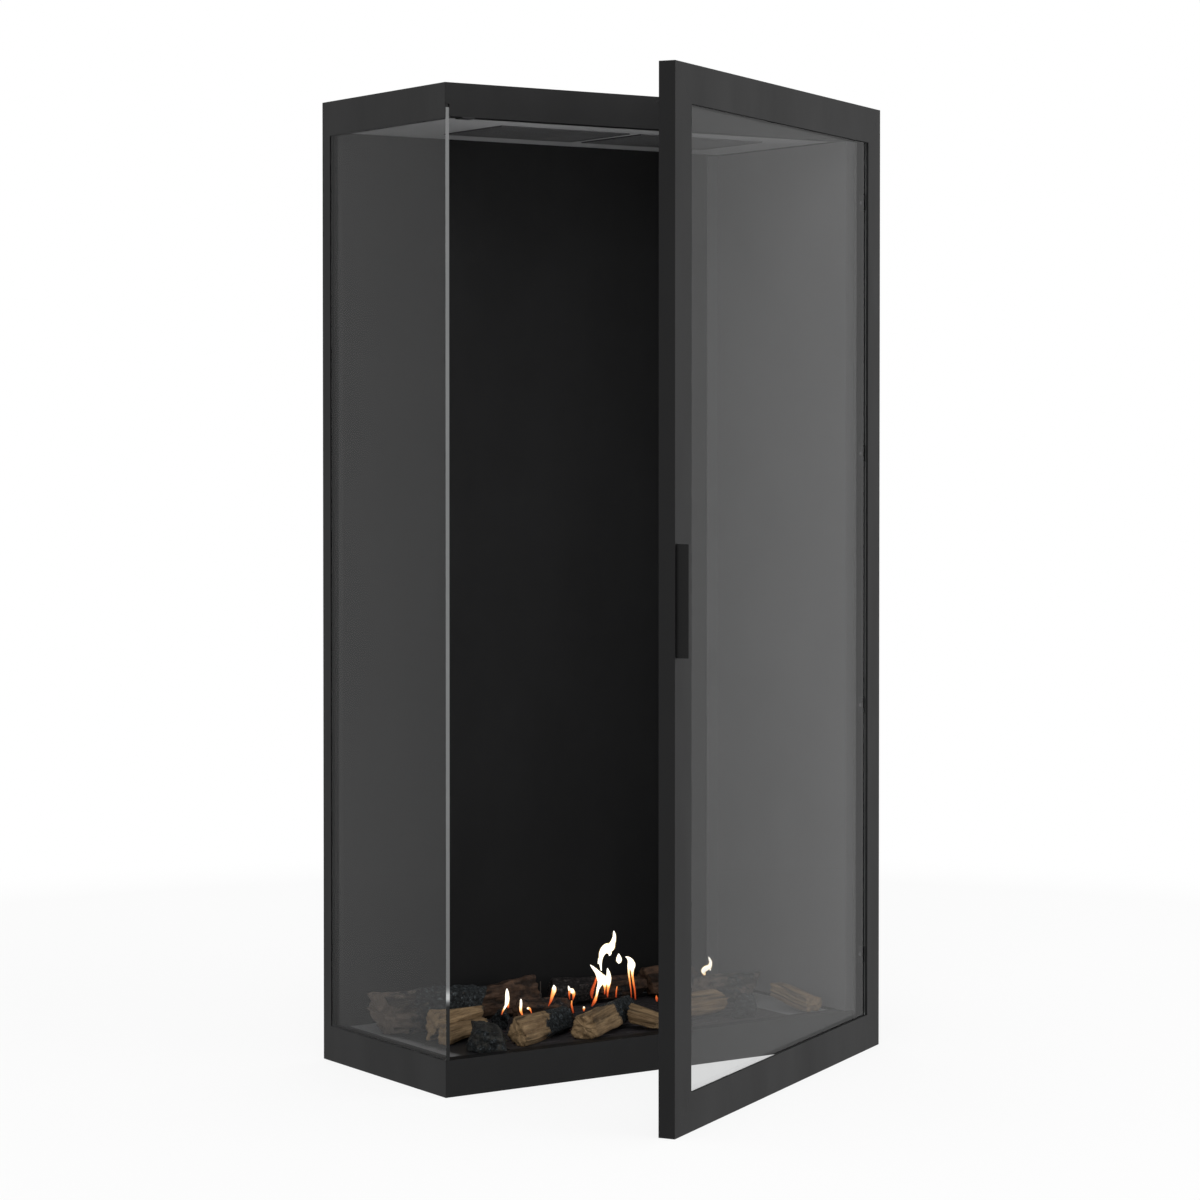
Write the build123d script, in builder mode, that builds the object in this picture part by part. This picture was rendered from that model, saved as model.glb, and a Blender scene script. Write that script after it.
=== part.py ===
from build123d import *
from math import cos, pi, radians, sin
import os

# Corner gas fireplace: a tall steel cabinet, glazed on its left side, with a framed
# glass door on the front that swings on two pivots at the right.
# Millimetres. The origin is the middle of the base, +X right, +Y back, +Z up.

os.makedirs("parts", exist_ok=True)

# Cabinet
width = 640
depth = 295
height = 1200
skin = 2.0                  # sheet of the two frames
base_height = 44            # bottom frame, all round
crown_height = 40           # top frame at the front, right and back
crown_side_height = 42.5    # top frame over the side glass
foot_flange = 30            # bottom frame's foot, turned inwards
cover_flange = 18           # flanges that close the frames towards the chamber
panel = 1.5                 # sheet of the panels and liners
floor_drop = 4              # chamber floor below the bottom frame's top
ledge = 16                  # ledge that carries the floor
fixing_hole = 9             # holes in the foot for floor bolts
fixing_inset = 18           # those holes from the cabinet's sides

# Side glass
glass = 5
glass_lip = 0.8             # skin left outside the side glass
glass_bite = 13             # how far the side glass runs into its channels
seal = 4                    # strip between a channel's seat and the glass edge
channel_wall = 2
post_depth = 19             # rear post along the side
post_wall = 1.5
post_bite = 8               # how far the side glass runs into the rear post
glass_front_gap = 0.5

# Chamber
right_cavity = 40           # from the chamber's right wall to the cabinet's side
rear_cavity = 15            # from the chamber's back wall to the cabinet's back
jamb = 20                   # front post, and the liner's fold beside it
corner_return = 17          # right liner's fold on the back wall
side_air_gap = 19           # between the right insulation and the side panel
grille_length = 190
grille_depth = 135
grille_gap = 17             # bar between the two grilles
grille_left = 130           # first grille, from the cabinet's left side
grille_front = 81           # grilles, from the cabinet's front
grille_slot = 5
grille_pitch = 10
grille_frame = 6
grille_lap = 5              # grille over the edge of its opening

# Flue
flue_outer_diameter = 150
flue_inner_diameter = 100
flue_wall = 1.5
flue_flange = 10
flue_rim = 0.5              # flue collars below the cabinet's top
hood_height = 12
hood_margin = 8
flue_clearance = 0.3        # outer collar in the roof's hole
flue_lift = 5               # outer collar's lower edge above the hood

# Burner
deck_width = 246
deck_left = 110             # deck from the cabinet's left side
deck_right = 110            # and from its right side
deck_front = 22
deck_sheet = 1.5
slot_length = 62
slot_width = 4
slot_pitch_x = 80
slot_pitch_y = 17
slot_columns = 5
slot_rows = 13
box_inset = 10              # burner box inside the deck's edge
box_clearance = 3           # burner box to the floor's opening
box_bottom = 12
venturi_diameter = 20
venturi_wall = 1.5
venturi_length = 44
gas_height = 24             # axis of the venturi, injector and gas inlet
venturi_from_front = 70
shutter_wall = 1.5
shutter_width = 16
shutter_clearance = 0.05
port_width = 7
injector_diameter = 10
injector_bore = 2
injector_gap = 6            # open throat between the injector and the venturi
valve_length = 36
valve_width = 60
valve_height = 26
valve_round = 2
valve_clearance = 4         # valve to the frame's side
pipe_diameter = 10
pipe_wall = 1
union_diameter = 24
union_thread = 13.2         # bore of the inlet's thread
union_length = 22
thread_depth = 14

# Pilot, behind the log bed
pilot_from_left = 292
pilot_from_front = 263
pilot_diameter = 7
pilot_height = 22
pilot_wall = 1
probe_diameter = 3
probe_height = 30
probe_spacing = 12
spark_body_height = 15
spark_tip_diameter = 1.5
pilot_bracket_depth = 7

# Door
door_margin = 4.5           # door narrower than the cabinet at each side
door_thickness = 20
door_gap = 6.7              # between the closed door and the cabinet's front
door_open = 30.1            # how far the door stands open, in degrees
rail_face = 44.5
free_stile_face = 45
hinge_stile_face = 41
door_lip = 3                # front wall of the door frame
door_rebate = 12            # lip over the door glass
tube_wall = 2
glass_margin = 2            # door glass to the frame tubes
gasket_width = 8
gasket_clearance = 0.5      # gasket to the cabinet, door closed
gasket_inset = 8            # gasket from the door's top and bottom
gasket_edge = 13            # gasket from the door's free edge
clip_length = 20
clip_lap = 9                # glazing clip over the glass
clip_rise = 9
clip_sheet = 1.5
clip_levels = (0.1, 0.366, 0.634, 0.9)      # clips up each stile, as shares of the height
clip_places = (0.25, 0.75)                  # clips along each rail, as shares of its length

# Handle
handle_length = 127
handle_reach = 15
handle_thickness = 4.5
handle_inset = 3.5
handle_screw_spacing = 90
handle_screw_radius = 1.5
handle_screw_depth = 8
handle_screw_room = 0.5     # hole beyond the screw's tip
handle_screw_head = 2.6
handle_screw_head_height = 2
driver_hole_radius = 4
thread_clearance = 0.02

# Pivots
pivot_inset = 10            # pivot axis from the door's hinge end
pin_radius = 4
pin_length = 26
bush_wall = 1.0
bush_flange = 1.0
bush_flange_radius = 6
bush_clearance = 0.03       # pin in the bush
lug_half_width = 6.5
lug_thickness = 4
lug_height = 22             # lugs from the base and from the top
lug_clearance = 0.4
thrust_clearance = 0.3
bracket_sheet = 3
bracket_width = 24
bracket_height = 24
bolt_radius = 2
bolt_length = 8
bolt_spacing = 16
block_length = 34
block_behind = 12           # pivot block beyond the pin, towards the door's middle
notch_behind = 8            # notch for the lug beyond the pin

# Catch at the door's top free corner
magnet_from_left = 24
magnet_length = 18
magnet_depth = 16
magnet_thickness = 1.4
strike_sheet = 1.3
strike_length = 11
strike_from_free_edge = 22
strike_reach = 14
strike_rise = 24
catch_gap = 0.35

# Places worked out from the sizes above
left = -width / 2
right = width / 2
front = -depth / 2
back = depth / 2
door_width = width - 2 * door_margin
deck_length = width - deck_left - deck_right
crown_bottom = height - crown_height
chamber_right = right - right_cavity
chamber_back = back - rear_cavity
floor_top = base_height - floor_drop
deck_top = floor_top + deck_sheet
ceiling = crown_bottom + skin
glass_outside = left + glass_lip
glass_inside = glass_outside + glass
glass_bottom = base_height - glass_bite
glass_top = height - crown_side_height + glass_bite
channel_inside = glass_inside + channel_wall
rear_flange = rear_cavity - panel
post_front = back - post_depth
channel_end = post_front + post_bite
skin_inside = (glass_outside, right - skin, front + skin, back - skin)
pivot_x = right - door_margin - pivot_inset
pivot_y = front - door_gap - door_thickness / 2
lug_levels = (lug_height, height - lug_height - lug_thickness)


def brick(low, high, mode=Mode.ADD):
    # A block between two opposite corners.
    sides = [b - a for a, b in zip(low, high)]
    with Locations(low):
        Box(*sides, align=(Align.MIN, Align.MIN, Align.MIN), mode=mode)


def ring_wall(outer, inner, bottom, top):
    # A rectangular frame in plan, given as left, right, front and back, between two levels.
    brick((outer[0], outer[2], bottom), (outer[1], outer[3], top))
    brick((inner[0], inner[2], bottom), (inner[1], inner[3], top), mode=Mode.SUBTRACT)


def flange(reach, back_reach, bottom, top):
    # A flange turned inwards from the skin, all round.
    inside = (left + reach, right - reach, front + reach, back - back_reach)
    ring_wall(skin_inside, inside, bottom, top)


def glass_channel(seat, mouth, channel_front):
    # A channel for the side glass from its seat to its mouth, walled towards the chamber.
    outward = 1 if mouth > seat else -1
    low, high = sorted((seat - outward * channel_wall, mouth))
    brick((glass_outside, front + skin, low), (channel_inside, channel_end, high))
    low, high = sorted((seat, mouth))
    brick((glass_outside, channel_front, low), (glass_inside, channel_end, high), mode=Mode.SUBTRACT)


def lug_slot(level):
    # The slot in a frame's front skin that a pivot lug passes through.
    reach = lug_half_width + lug_clearance
    brick((pivot_x - reach, front, level - lug_clearance),
          (pivot_x + reach, front + skin, level + lug_thickness + lug_clearance), mode=Mode.SUBTRACT)


def bracket_bolts(level, radius, length, mode=Mode.SUBTRACT):
    # Holes or shanks of one bracket's two bolts, from the skin's outside inwards.
    middle = level + lug_thickness / 2
    for side in (-1, 1):
        with Locations(Plane(origin=(pivot_x, front, middle + side * bolt_spacing / 2), z_dir=(0, 1, 0))):
            Cylinder(radius, length, align=(Align.CENTER, Align.CENTER, Align.MIN), mode=mode)


# Bottom frame: skin, foot, floor ledge, cover flange and the channel of the side glass
fixing_spacing_x = width - 2 * fixing_inset
fixing_spacing_y = depth - 2 * fixing_inset
valve_x = right - skin - valve_length / 2 - valve_clearance
with BuildPart() as bottom_frame:
    ring_wall((left, right, front, back), skin_inside, 0, base_height)
    flange(foot_flange, foot_flange, panel, panel + skin)
    flange(ledge, ledge, floor_top - panel - skin, floor_top - panel)
    flange(cover_flange, rear_flange, base_height - skin, base_height)
    glass_channel(glass_bottom - seal, base_height, front + skin)
    with GridLocations(fixing_spacing_x, fixing_spacing_y, 2, 2):
        Cylinder(fixing_hole / 2, base_height, mode=Mode.SUBTRACT)
    lug_slot(lug_levels[0])
    bracket_bolts(lug_levels[0], bolt_radius + thread_clearance, skin)
    with Locations(Plane(origin=(valve_x, back, gas_height), z_dir=(0, 1, 0))):
        Cylinder(union_diameter / 2, 2 * skin, mode=Mode.SUBTRACT)
bottom_frame.part.label = "bottom_frame"
export_step(bottom_frame.part, "parts/bottom_frame.step")

# Base plate: closes the frame from below, under its foot
with BuildPart() as base_plate:
    brick((glass_outside, front + skin, 0), (right - skin, back - skin, panel))
    with GridLocations(fixing_spacing_x, fixing_spacing_y, 2, 2):
        Cylinder(fixing_hole / 2, base_height, mode=Mode.SUBTRACT)
base_plate.part.label = "base_plate"
export_step(base_plate.part, "parts/base_plate.step")

# Top frame: skin, cover flange, roof flange and a channel left open at the front,
# where the edge of the side glass shows
with BuildPart() as top_frame:
    ring_wall((left, right, front, back), skin_inside, crown_bottom, height)
    brick((left, front, height - crown_side_height), (glass_outside, back, crown_bottom))
    flange(cover_flange, rear_flange, crown_bottom, ceiling)
    flange(cover_flange, rear_flange, height - skin, height)
    glass_channel(glass_top + seal, height - crown_side_height, front)
    lug_slot(lug_levels[1])
    bracket_bolts(lug_levels[1], bolt_radius + thread_clearance, skin)
top_frame.part.label = "top_frame"
export_step(top_frame.part, "parts/top_frame.step")

# Rear post: a square tube with a rebate for the back edge of the side glass
with BuildPart() as rear_left_post:
    brick((left, post_front, base_height), (left + post_depth, back, crown_bottom))
    brick((glass_outside, post_front, base_height), (glass_inside, channel_end, crown_bottom),
          mode=Mode.SUBTRACT)
    brick((glass_inside + post_wall, post_front + post_wall, base_height),
          (left + post_depth - post_wall, back - post_wall, crown_bottom), mode=Mode.SUBTRACT)
    brick((left, post_front, height - crown_side_height), (glass_outside, back, crown_bottom),
          mode=Mode.SUBTRACT)
    brick((glass_outside, post_front, height - crown_side_height),
          (channel_inside, channel_end, crown_bottom), mode=Mode.SUBTRACT)
rear_left_post.part.label = "rear_left_post"
export_step(rear_left_post.part, "parts/rear_left_post.step")

# Front post: a square tube at the hinge side
with BuildPart() as front_right_post:
    brick((right - jamb, front, base_height), (right, front + jamb, crown_bottom))
    brick((right - jamb + post_wall, front + post_wall, base_height),
          (right - post_wall, front + jamb - post_wall, crown_bottom), mode=Mode.SUBTRACT)
front_right_post.part.label = "front_right_post"
export_step(front_right_post.part, "parts/front_right_post.step")

# Outer panels: the right one folds round onto the back
with BuildPart() as right_outer_panel:
    brick((right - panel, front + jamb, base_height), (right, back, crown_bottom))
    brick((right - jamb, back - panel, base_height), (right, back, crown_bottom))
right_outer_panel.part.label = "right_outer_panel"
export_step(right_outer_panel.part, "parts/right_outer_panel.step")

with BuildPart() as back_outer_panel:
    brick((left + post_depth, back - panel, base_height), (right - jamb, back, crown_bottom))
back_outer_panel.part.label = "back_outer_panel"
export_step(back_outer_panel.part, "parts/back_outer_panel.step")

# Side glass, its lower front corner cut away behind the bottom frame, and the strips
# that bed its two edges
with BuildPart() as side_glass:
    brick((glass_outside, front + skin, glass_bottom), (glass_inside, channel_end, glass_top))
    brick((glass_outside, front + glass_front_gap, base_height), (glass_inside, front + skin, glass_top))
side_glass.part.label = "side_glass"
export_step(side_glass.part, "parts/side_glass.step")

with BuildPart() as side_glass_seals:
    for low in (glass_bottom - seal, glass_top):
        brick((glass_outside, front + skin, low), (glass_inside, channel_end, low + seal))
side_glass_seals.part.label = "side_glass_seals"
export_step(side_glass_seals.part, "parts/side_glass_seals.step")

# Chamber floor with an opening for the burner box
deck_x = left + deck_left + deck_length / 2
deck_y = front + deck_front + deck_width / 2
box_length = deck_length - 2 * box_inset
box_width = deck_width - 2 * box_inset
with BuildPart() as floor_panel:
    brick((channel_inside, front + skin, floor_top - panel), (chamber_right, chamber_back, floor_top))
    with Locations((deck_x, deck_y, floor_top)):
        Box(box_length + 2 * box_clearance, box_width + 2 * box_clearance, 4 * panel, mode=Mode.SUBTRACT)
floor_panel.part.label = "floor_panel"
export_step(floor_panel.part, "parts/floor_panel.step")

# Chamber liners
with BuildPart() as back_liner:
    brick((left + post_depth, chamber_back, floor_top - panel),
          (chamber_right + panel, chamber_back + panel, ceiling))
back_liner.part.label = "back_liner"
export_step(back_liner.part, "parts/back_liner.step")

with BuildPart() as right_liner:
    brick((chamber_right, front, base_height), (chamber_right + panel, chamber_back, crown_bottom))
    brick((chamber_right, front, base_height), (right - jamb, front + panel, crown_bottom))
    brick((chamber_right - corner_return, chamber_back - panel, base_height),
          (chamber_right, chamber_back, crown_bottom))
right_liner.part.label = "right_liner"
export_step(right_liner.part, "parts/right_liner.step")

# Insulation boards behind the two liners
with BuildPart() as insulation_boards:
    brick((left + post_depth, chamber_back + panel, base_height),
          (chamber_right + panel, back - panel, crown_bottom))
    brick((chamber_right + panel, front + panel, base_height),
          (right - side_air_gap - post_wall, chamber_back + panel, crown_bottom))
insulation_boards.part.label = "insulation_boards"
export_step(insulation_boards.part, "parts/insulation_boards.step")

# Ceiling with two exhaust openings, and the grilles below them
grille_x = [left + grille_left + grille_length * (n + 0.5) + grille_gap * n for n in (0, 1)]
grille_y = front + grille_front + grille_depth / 2
with BuildPart() as ceiling_panel:
    brick((channel_inside, front + skin, ceiling),
          (chamber_right + panel, chamber_back + panel, ceiling + panel))
    with Locations(*[(x, grille_y, ceiling) for x in grille_x]):
        Box(grille_length - 2 * grille_lap, grille_depth - 2 * grille_lap, 4 * panel, mode=Mode.SUBTRACT)
ceiling_panel.part.label = "ceiling_panel"
export_step(ceiling_panel.part, "parts/ceiling_panel.step")

slot_count = int((grille_depth - 2 * grille_frame) / grille_pitch)
with BuildPart() as exhaust_grilles:
    for x in grille_x:
        with BuildSketch(Plane.XY.offset(ceiling - panel)):
            with Locations((x, grille_y)):
                Rectangle(grille_length, grille_depth)
                with GridLocations(0, grille_pitch, 1, slot_count):
                    Rectangle(grille_length - 2 * grille_frame, grille_slot, mode=Mode.SUBTRACT)
        extrude(amount=panel)
exhaust_grilles.part.label = "exhaust_grilles"
export_step(exhaust_grilles.part, "parts/exhaust_grilles.step")

# Exhaust hood over both openings, with the hole of the inner flue
flue_x = sum(grille_x) / 2
hood_length = 2 * grille_length + grille_gap + 2 * hood_margin
hood_width = grille_depth + 2 * hood_margin
hood_top = ceiling + panel + hood_height
with BuildPart() as exhaust_hood:
    with Locations((flue_x, grille_y, ceiling + panel)):
        Box(hood_length, hood_width, hood_height, align=(Align.CENTER, Align.CENTER, Align.MIN))
    with Locations((flue_x, grille_y, ceiling + panel)):
        Box(hood_length - 2 * panel, hood_width - 2 * panel, hood_height - panel,
            align=(Align.CENTER, Align.CENTER, Align.MIN), mode=Mode.SUBTRACT)
    with Locations((flue_x, grille_y, hood_top)):
        Cylinder(flue_inner_diameter / 2 - flue_wall, 4 * panel, mode=Mode.SUBTRACT)
exhaust_hood.part.label = "exhaust_hood"
export_step(exhaust_hood.part, "parts/exhaust_hood.step")

# Roof under the top frame's flange, and the two flue collars
roof_top = height - skin
with BuildPart() as roof_panel:
    brick((channel_inside, front + skin, roof_top - panel), (right - skin, back - skin, roof_top))
    with Locations((flue_x, grille_y, roof_top)):
        Cylinder(flue_outer_diameter / 2 + flue_clearance, 4 * panel, mode=Mode.SUBTRACT)
roof_panel.part.label = "roof_panel"
export_step(roof_panel.part, "parts/roof_panel.step")


def flue_collar(diameter, bottom, flange_bottom):
    # A flue collar up to just below the cabinet's top, with a flange at one level.
    top = height - flue_rim
    with BuildPart() as collar:
        with Locations((flue_x, grille_y, bottom)):
            Cylinder(diameter / 2, top - bottom, align=(Align.CENTER, Align.CENTER, Align.MIN))
        with Locations((flue_x, grille_y, flange_bottom)):
            Cylinder(diameter / 2 + flue_flange, flue_wall, align=(Align.CENTER, Align.CENTER, Align.MIN))
        with Locations((flue_x, grille_y, bottom)):
            Cylinder(diameter / 2 - flue_wall, 2 * height, mode=Mode.SUBTRACT)
    return collar


outer_flange = roof_top - panel - flue_wall
flue_outer_collar = flue_collar(flue_outer_diameter, hood_top + flue_lift, outer_flange)
flue_outer_collar.part.label = "flue_outer_collar"
export_step(flue_outer_collar.part, "parts/flue_outer_collar.step")

flue_inner_collar = flue_collar(flue_inner_diameter, hood_top, hood_top)
flue_inner_collar.part.label = "flue_inner_collar"
export_step(flue_inner_collar.part, "parts/flue_inner_collar.step")

# Burner box below the floor and the slotted deck on it
venturi_y = front + venturi_from_front
box_right = deck_x + box_length / 2
with BuildPart() as burner_box:
    with Locations((deck_x, deck_y, box_bottom)):
        Box(box_length, box_width, floor_top - box_bottom, align=(Align.CENTER, Align.CENTER, Align.MIN))
    with Locations((deck_x, deck_y, box_bottom + panel)):
        Box(box_length - 2 * panel, box_width - 2 * panel, floor_top,
            align=(Align.CENTER, Align.CENTER, Align.MIN), mode=Mode.SUBTRACT)
    with Locations(Plane(origin=(box_right, venturi_y, gas_height), z_dir=(1, 0, 0))):
        Cylinder(venturi_diameter / 2, 4 * panel, mode=Mode.SUBTRACT)
burner_box.part.label = "burner_box"
export_step(burner_box.part, "parts/burner_box.step")

with BuildPart() as burner_deck:
    with BuildSketch(Plane.XY.offset(floor_top)):
        with Locations((deck_x, deck_y)):
            Rectangle(deck_length, deck_width)
            with GridLocations(slot_pitch_x, slot_pitch_y, slot_columns, slot_rows):
                SlotOverall(slot_length, slot_width, mode=Mode.SUBTRACT)
    extrude(amount=deck_sheet)
burner_deck.part.label = "burner_deck"
export_step(burner_deck.part, "parts/burner_deck.step")

# Gas train: venturi, air shutter, injector, valve, pipe and inlet union
venturi = Plane(origin=(box_right - panel, venturi_y, gas_height), z_dir=(1, 0, 0))
venturi_end = box_right - panel + venturi_length
injector_start = venturi_end + injector_gap
on_axis = (Align.CENTER, Align.CENTER, Align.MIN)
with BuildPart(venturi) as venturi_tube:
    Cylinder(venturi_diameter / 2, venturi_length, align=on_axis)
    Cylinder(venturi_diameter / 2 - venturi_wall, venturi_length, align=on_axis, mode=Mode.SUBTRACT)
    with Locations((0, 0, venturi_length - shutter_width / 2)):
        Box(port_width, 2 * venturi_diameter, shutter_width / 2, mode=Mode.SUBTRACT)
venturi_tube.part.label = "venturi_tube"
export_step(venturi_tube.part, "parts/venturi_tube.step")

shutter_bore = venturi_diameter / 2 + shutter_clearance
with BuildPart(venturi.offset(venturi_length - shutter_width)) as air_shutter:
    Cylinder(shutter_bore + shutter_wall, shutter_width, align=on_axis)
    Cylinder(shutter_bore, shutter_width, align=on_axis, mode=Mode.SUBTRACT)
    with Locations((0, 0, shutter_width / 2)):
        Box(port_width, 2 * venturi_diameter, shutter_width / 2, mode=Mode.SUBTRACT)
air_shutter.part.label = "air_shutter"
export_step(air_shutter.part, "parts/air_shutter.step")

valve_left = valve_x - valve_length / 2
with BuildPart(Plane(origin=(injector_start, venturi_y, gas_height), z_dir=(1, 0, 0))) as gas_injector:
    Cylinder(injector_diameter / 2, valve_left - injector_start, align=on_axis)
    Cylinder(injector_bore / 2, valve_left - injector_start, align=on_axis, mode=Mode.SUBTRACT)
gas_injector.part.label = "gas_injector"
export_step(gas_injector.part, "parts/gas_injector.step")

valve_back = venturi_y + valve_width / 2
valve_bottom = panel + skin
with BuildPart() as gas_valve:
    brick((valve_left, venturi_y - valve_width / 2, valve_bottom),
          (valve_left + valve_length, valve_back, valve_bottom + valve_height))
    fillet(gas_valve.edges().filter_by(Axis.Z), valve_round)
gas_valve.part.label = "gas_valve"
export_step(gas_valve.part, "parts/gas_valve.step")

union_front = back - union_length
with BuildPart(Plane(origin=(valve_x, valve_back, gas_height), z_dir=(0, 1, 0))) as gas_pipe:
    Cylinder(pipe_diameter / 2, union_front - valve_back, align=on_axis)
    Cylinder(pipe_diameter / 2 - pipe_wall, union_front - valve_back, align=on_axis, mode=Mode.SUBTRACT)
gas_pipe.part.label = "gas_pipe"
export_step(gas_pipe.part, "parts/gas_pipe.step")

with BuildPart(Plane(origin=(valve_x, union_front, gas_height), z_dir=(0, 1, 0))) as gas_inlet_union:
    Cylinder(union_diameter / 2 - thread_clearance, union_length, align=on_axis)
    Cylinder(pipe_diameter / 2 - pipe_wall, union_length, align=on_axis, mode=Mode.SUBTRACT)
    with Locations((0, 0, union_length - thread_depth)):
        Cylinder(union_thread / 2, thread_depth, align=on_axis, mode=Mode.SUBTRACT)
gas_inlet_union.part.label = "gas_inlet_union"
export_step(gas_inlet_union.part, "parts/gas_inlet_union.step")

# Pilot group on the deck: hood on its bracket, flame sensor and spark electrode
pilot_x = left + pilot_from_left
pilot_y = front + pilot_from_front
bracket_reach = probe_spacing + probe_diameter
with BuildPart() as pilot_burner:
    brick((pilot_x - bracket_reach, pilot_y - pilot_bracket_depth / 2, deck_top),
          (pilot_x + bracket_reach, pilot_y + pilot_bracket_depth / 2, deck_top + panel))
    with Locations((pilot_x, pilot_y, deck_top)):
        Cylinder(pilot_diameter / 2, pilot_height, align=on_axis)
    with Locations((pilot_x, pilot_y, deck_top + pilot_height)):
        Cylinder(pilot_diameter / 2 - pilot_wall, pilot_height, mode=Mode.SUBTRACT)
pilot_burner.part.label = "pilot_burner"
export_step(pilot_burner.part, "parts/pilot_burner.step")

with BuildPart() as flame_sensor:
    with Locations((pilot_x - probe_spacing, pilot_y, deck_top + panel)):
        Cylinder(probe_diameter / 2, probe_height, align=on_axis)
flame_sensor.part.label = "flame_sensor"
export_step(flame_sensor.part, "parts/flame_sensor.step")

with BuildPart() as spark_electrode:
    with Locations((pilot_x + probe_spacing, pilot_y, deck_top + panel)):
        Cylinder(probe_diameter / 2, spark_body_height, align=on_axis)
        Cylinder(spark_tip_diameter / 2, probe_height, align=on_axis)
spark_electrode.part.label = "spark_electrode"
export_step(spark_electrode.part, "parts/spark_electrode.step")

# Ceramic logs. Each has a start and an end: distance from the cabinet's left side, from
# its front, height of its underside above what it lies on, and its width and height there.
log_places = {
    "log_left": ((24, 200, 0, 58, 60), (150, 190, 0, 54, 58)),
    "log_back_left": ((168, 229, 0, 44, 44), (272, 226, 0, 52, 52)),
    "log_forked": ((62, 142, 0, 36, 40), (138, 138, 18, 20, 20)),
    "log_front_left": ((70, 29, 0, 50, 30), (106, 94, 0, 42, 30)),
    "log_front_middle": ((126, 42, 0, 38, 35), (240, 98, 0, 28, 30)),
    "log_middle": ((202, 168, 0, 32, 38), (278, 152, 0, 30, 32)),
    "log_back_charred": ((300, 238, 0, 40, 44), (444, 238, 0, 36, 36)),
    "log_front_right": ((212, 26, 0, 40, 38), (332, 110, 4, 38, 34)),
    "log_split": ((312, 70, 6, 30, 24), (334, 24, 0, 30, 20)),
    "log_right": ((396, 92, 0, 40, 34), (452, 84, 0, 38, 35)),
    "log_mottled": ((482, 152, 0, 44, 44), (562, 138, 0, 42, 42)),
    "log_back_right": ((450, 240, 0, 46, 46), (524, 234, 0, 46, 46)),
    "log_sloping": ((548, 80, 17, 24, 22), (570, 20, 0, 28, 24)),
}
fork_arm = ((58, 106, 0, 22, 26), (142, 136, 6, 20, 18))     # second prong of log_forked
charcoal_places = {
    "left": ((164, 148, 0, 24, 28), (180, 154, 0, 22, 24)),
    "front": ((456, 46, 0, 30, 34), (488, 38, 0, 28, 28)),
    "right": ((584, 98, 0, 22, 24), (588, 74, 0, 18, 26)),
}
log_corners = 9
log_sections = (0, 0.3, 0.7, 1)
log_end_taper = 0.86
log_roughness = 0.09
log_ripple = 2.3            # how the outline's reach changes from corner to corner
log_twist = 0.2
log_axis_height = 0.44      # axis above the underside, as a share of the log's height
log_turn = 1.7              # turn from one log's outline to the next one's


def log_outline(section_width, section_height, turn):
    # A rough closed outline about the log's axis, with no two corners alike.
    points = []
    for corner in range(log_corners):
        angle = 2 * pi * corner / log_corners + log_twist * sin(turn)
        reach = 1 + log_roughness * sin(log_ripple * corner + turn)
        points.append((reach * section_width / 2 * cos(angle), reach * section_height / 2 * sin(angle)))
    return points


def log_seat(start, end):
    # A log lies on the deck if an end that isn't lifted is over it, and else on the floor.
    lying = [place[0] for place in (start, end) if place[2] == 0]
    over_deck = [deck_left <= from_left <= deck_left + deck_length for from_left in lying]
    return deck_top if any(over_deck) else floor_top


def make_log(start, end, turn):
    # A log from start to end, cut flat where it lies.
    seat = log_seat(start, end)
    ends = []
    for from_left, from_front, lift, log_width, log_height in (start, end):
        level = seat + lift + log_axis_height * log_height
        ends.append(Vector(left + from_left, front + from_front, level))
    axis = ends[1] - ends[0]
    run = Plane(origin=ends[0], x_dir=axis.cross(Vector(0, 0, 1)), z_dir=axis)
    with BuildPart() as piece:
        for place in log_sections:
            taper = log_end_taper if place in (0, 1) else 1
            log_width = taper * (start[3] + (end[3] - start[3]) * place)
            log_height = taper * (start[4] + (end[4] - start[4]) * place)
            with BuildSketch(run.offset(place * axis.length)):
                with BuildLine():
                    Polyline(*log_outline(log_width, log_height, turn + place), close=True)
                make_face()
        loft(ruled=True)
        split(bisect_by=Plane.XY.offset(seat), keep=Keep.TOP)
    return piece


for number, (name, (start, end)) in enumerate(log_places.items()):
    with BuildPart() as log:
        add(make_log(start, end, log_turn * number).part)
        if name == "log_forked":
            add(make_log(*fork_arm, log_turn * number).part)
    log.part.label = name
    export_step(log.part, f"parts/{name}.step")

with BuildPart() as charcoal_lumps:
    for number, (start, end) in enumerate(charcoal_places.values()):
        add(make_log(start, end, log_turn * number).part)
charcoal_lumps.part.label = "charcoal_lumps"
export_step(charcoal_lumps.part, "parts/charcoal_lumps.step")

# The door stands open about its pivot. In its own frame X runs from the free edge to the
# hinge end, Y from the outer face to the inner face, and the pivot is at zero.
door = Plane(origin=(pivot_x, pivot_y, 0), x_dir=(cos(radians(door_open)), sin(radians(door_open)), 0))
hinge_end = pivot_inset
free_edge = pivot_inset - door_width
outer_face = -door_thickness / 2
inner_face = door_thickness / 2
lip_back = outer_face + door_lip
hinge_tube = hinge_end - (hinge_stile_face - door_rebate)
free_tube = free_edge + (free_stile_face - door_rebate)
rail_tube = rail_face - door_rebate


def door_outline(sides):
    # Corners of an upright rectangle on the door, from free edge, hinge end, bottom and top.
    low_x, high_x, low_z, high_z = sides
    return [(low_x, low_z), (high_x, low_z), (high_x, high_z), (low_x, high_z)]


door_edges = door_outline((free_edge, hinge_end, 0, height))
sight_edges = door_outline((free_edge + free_stile_face, hinge_end - hinge_stile_face,
                            rail_face, height - rail_face))
tube_edges = door_outline((free_tube, hinge_tube, rail_tube, height - rail_tube))


def upright(across):
    # An upright sketch plane on the door, facing outwards, at a distance across its thickness.
    origin = door.from_local_coords(Vector(0, across, 0))
    return Plane(origin=origin, x_dir=door.x_dir, z_dir=-door.y_dir)


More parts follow.
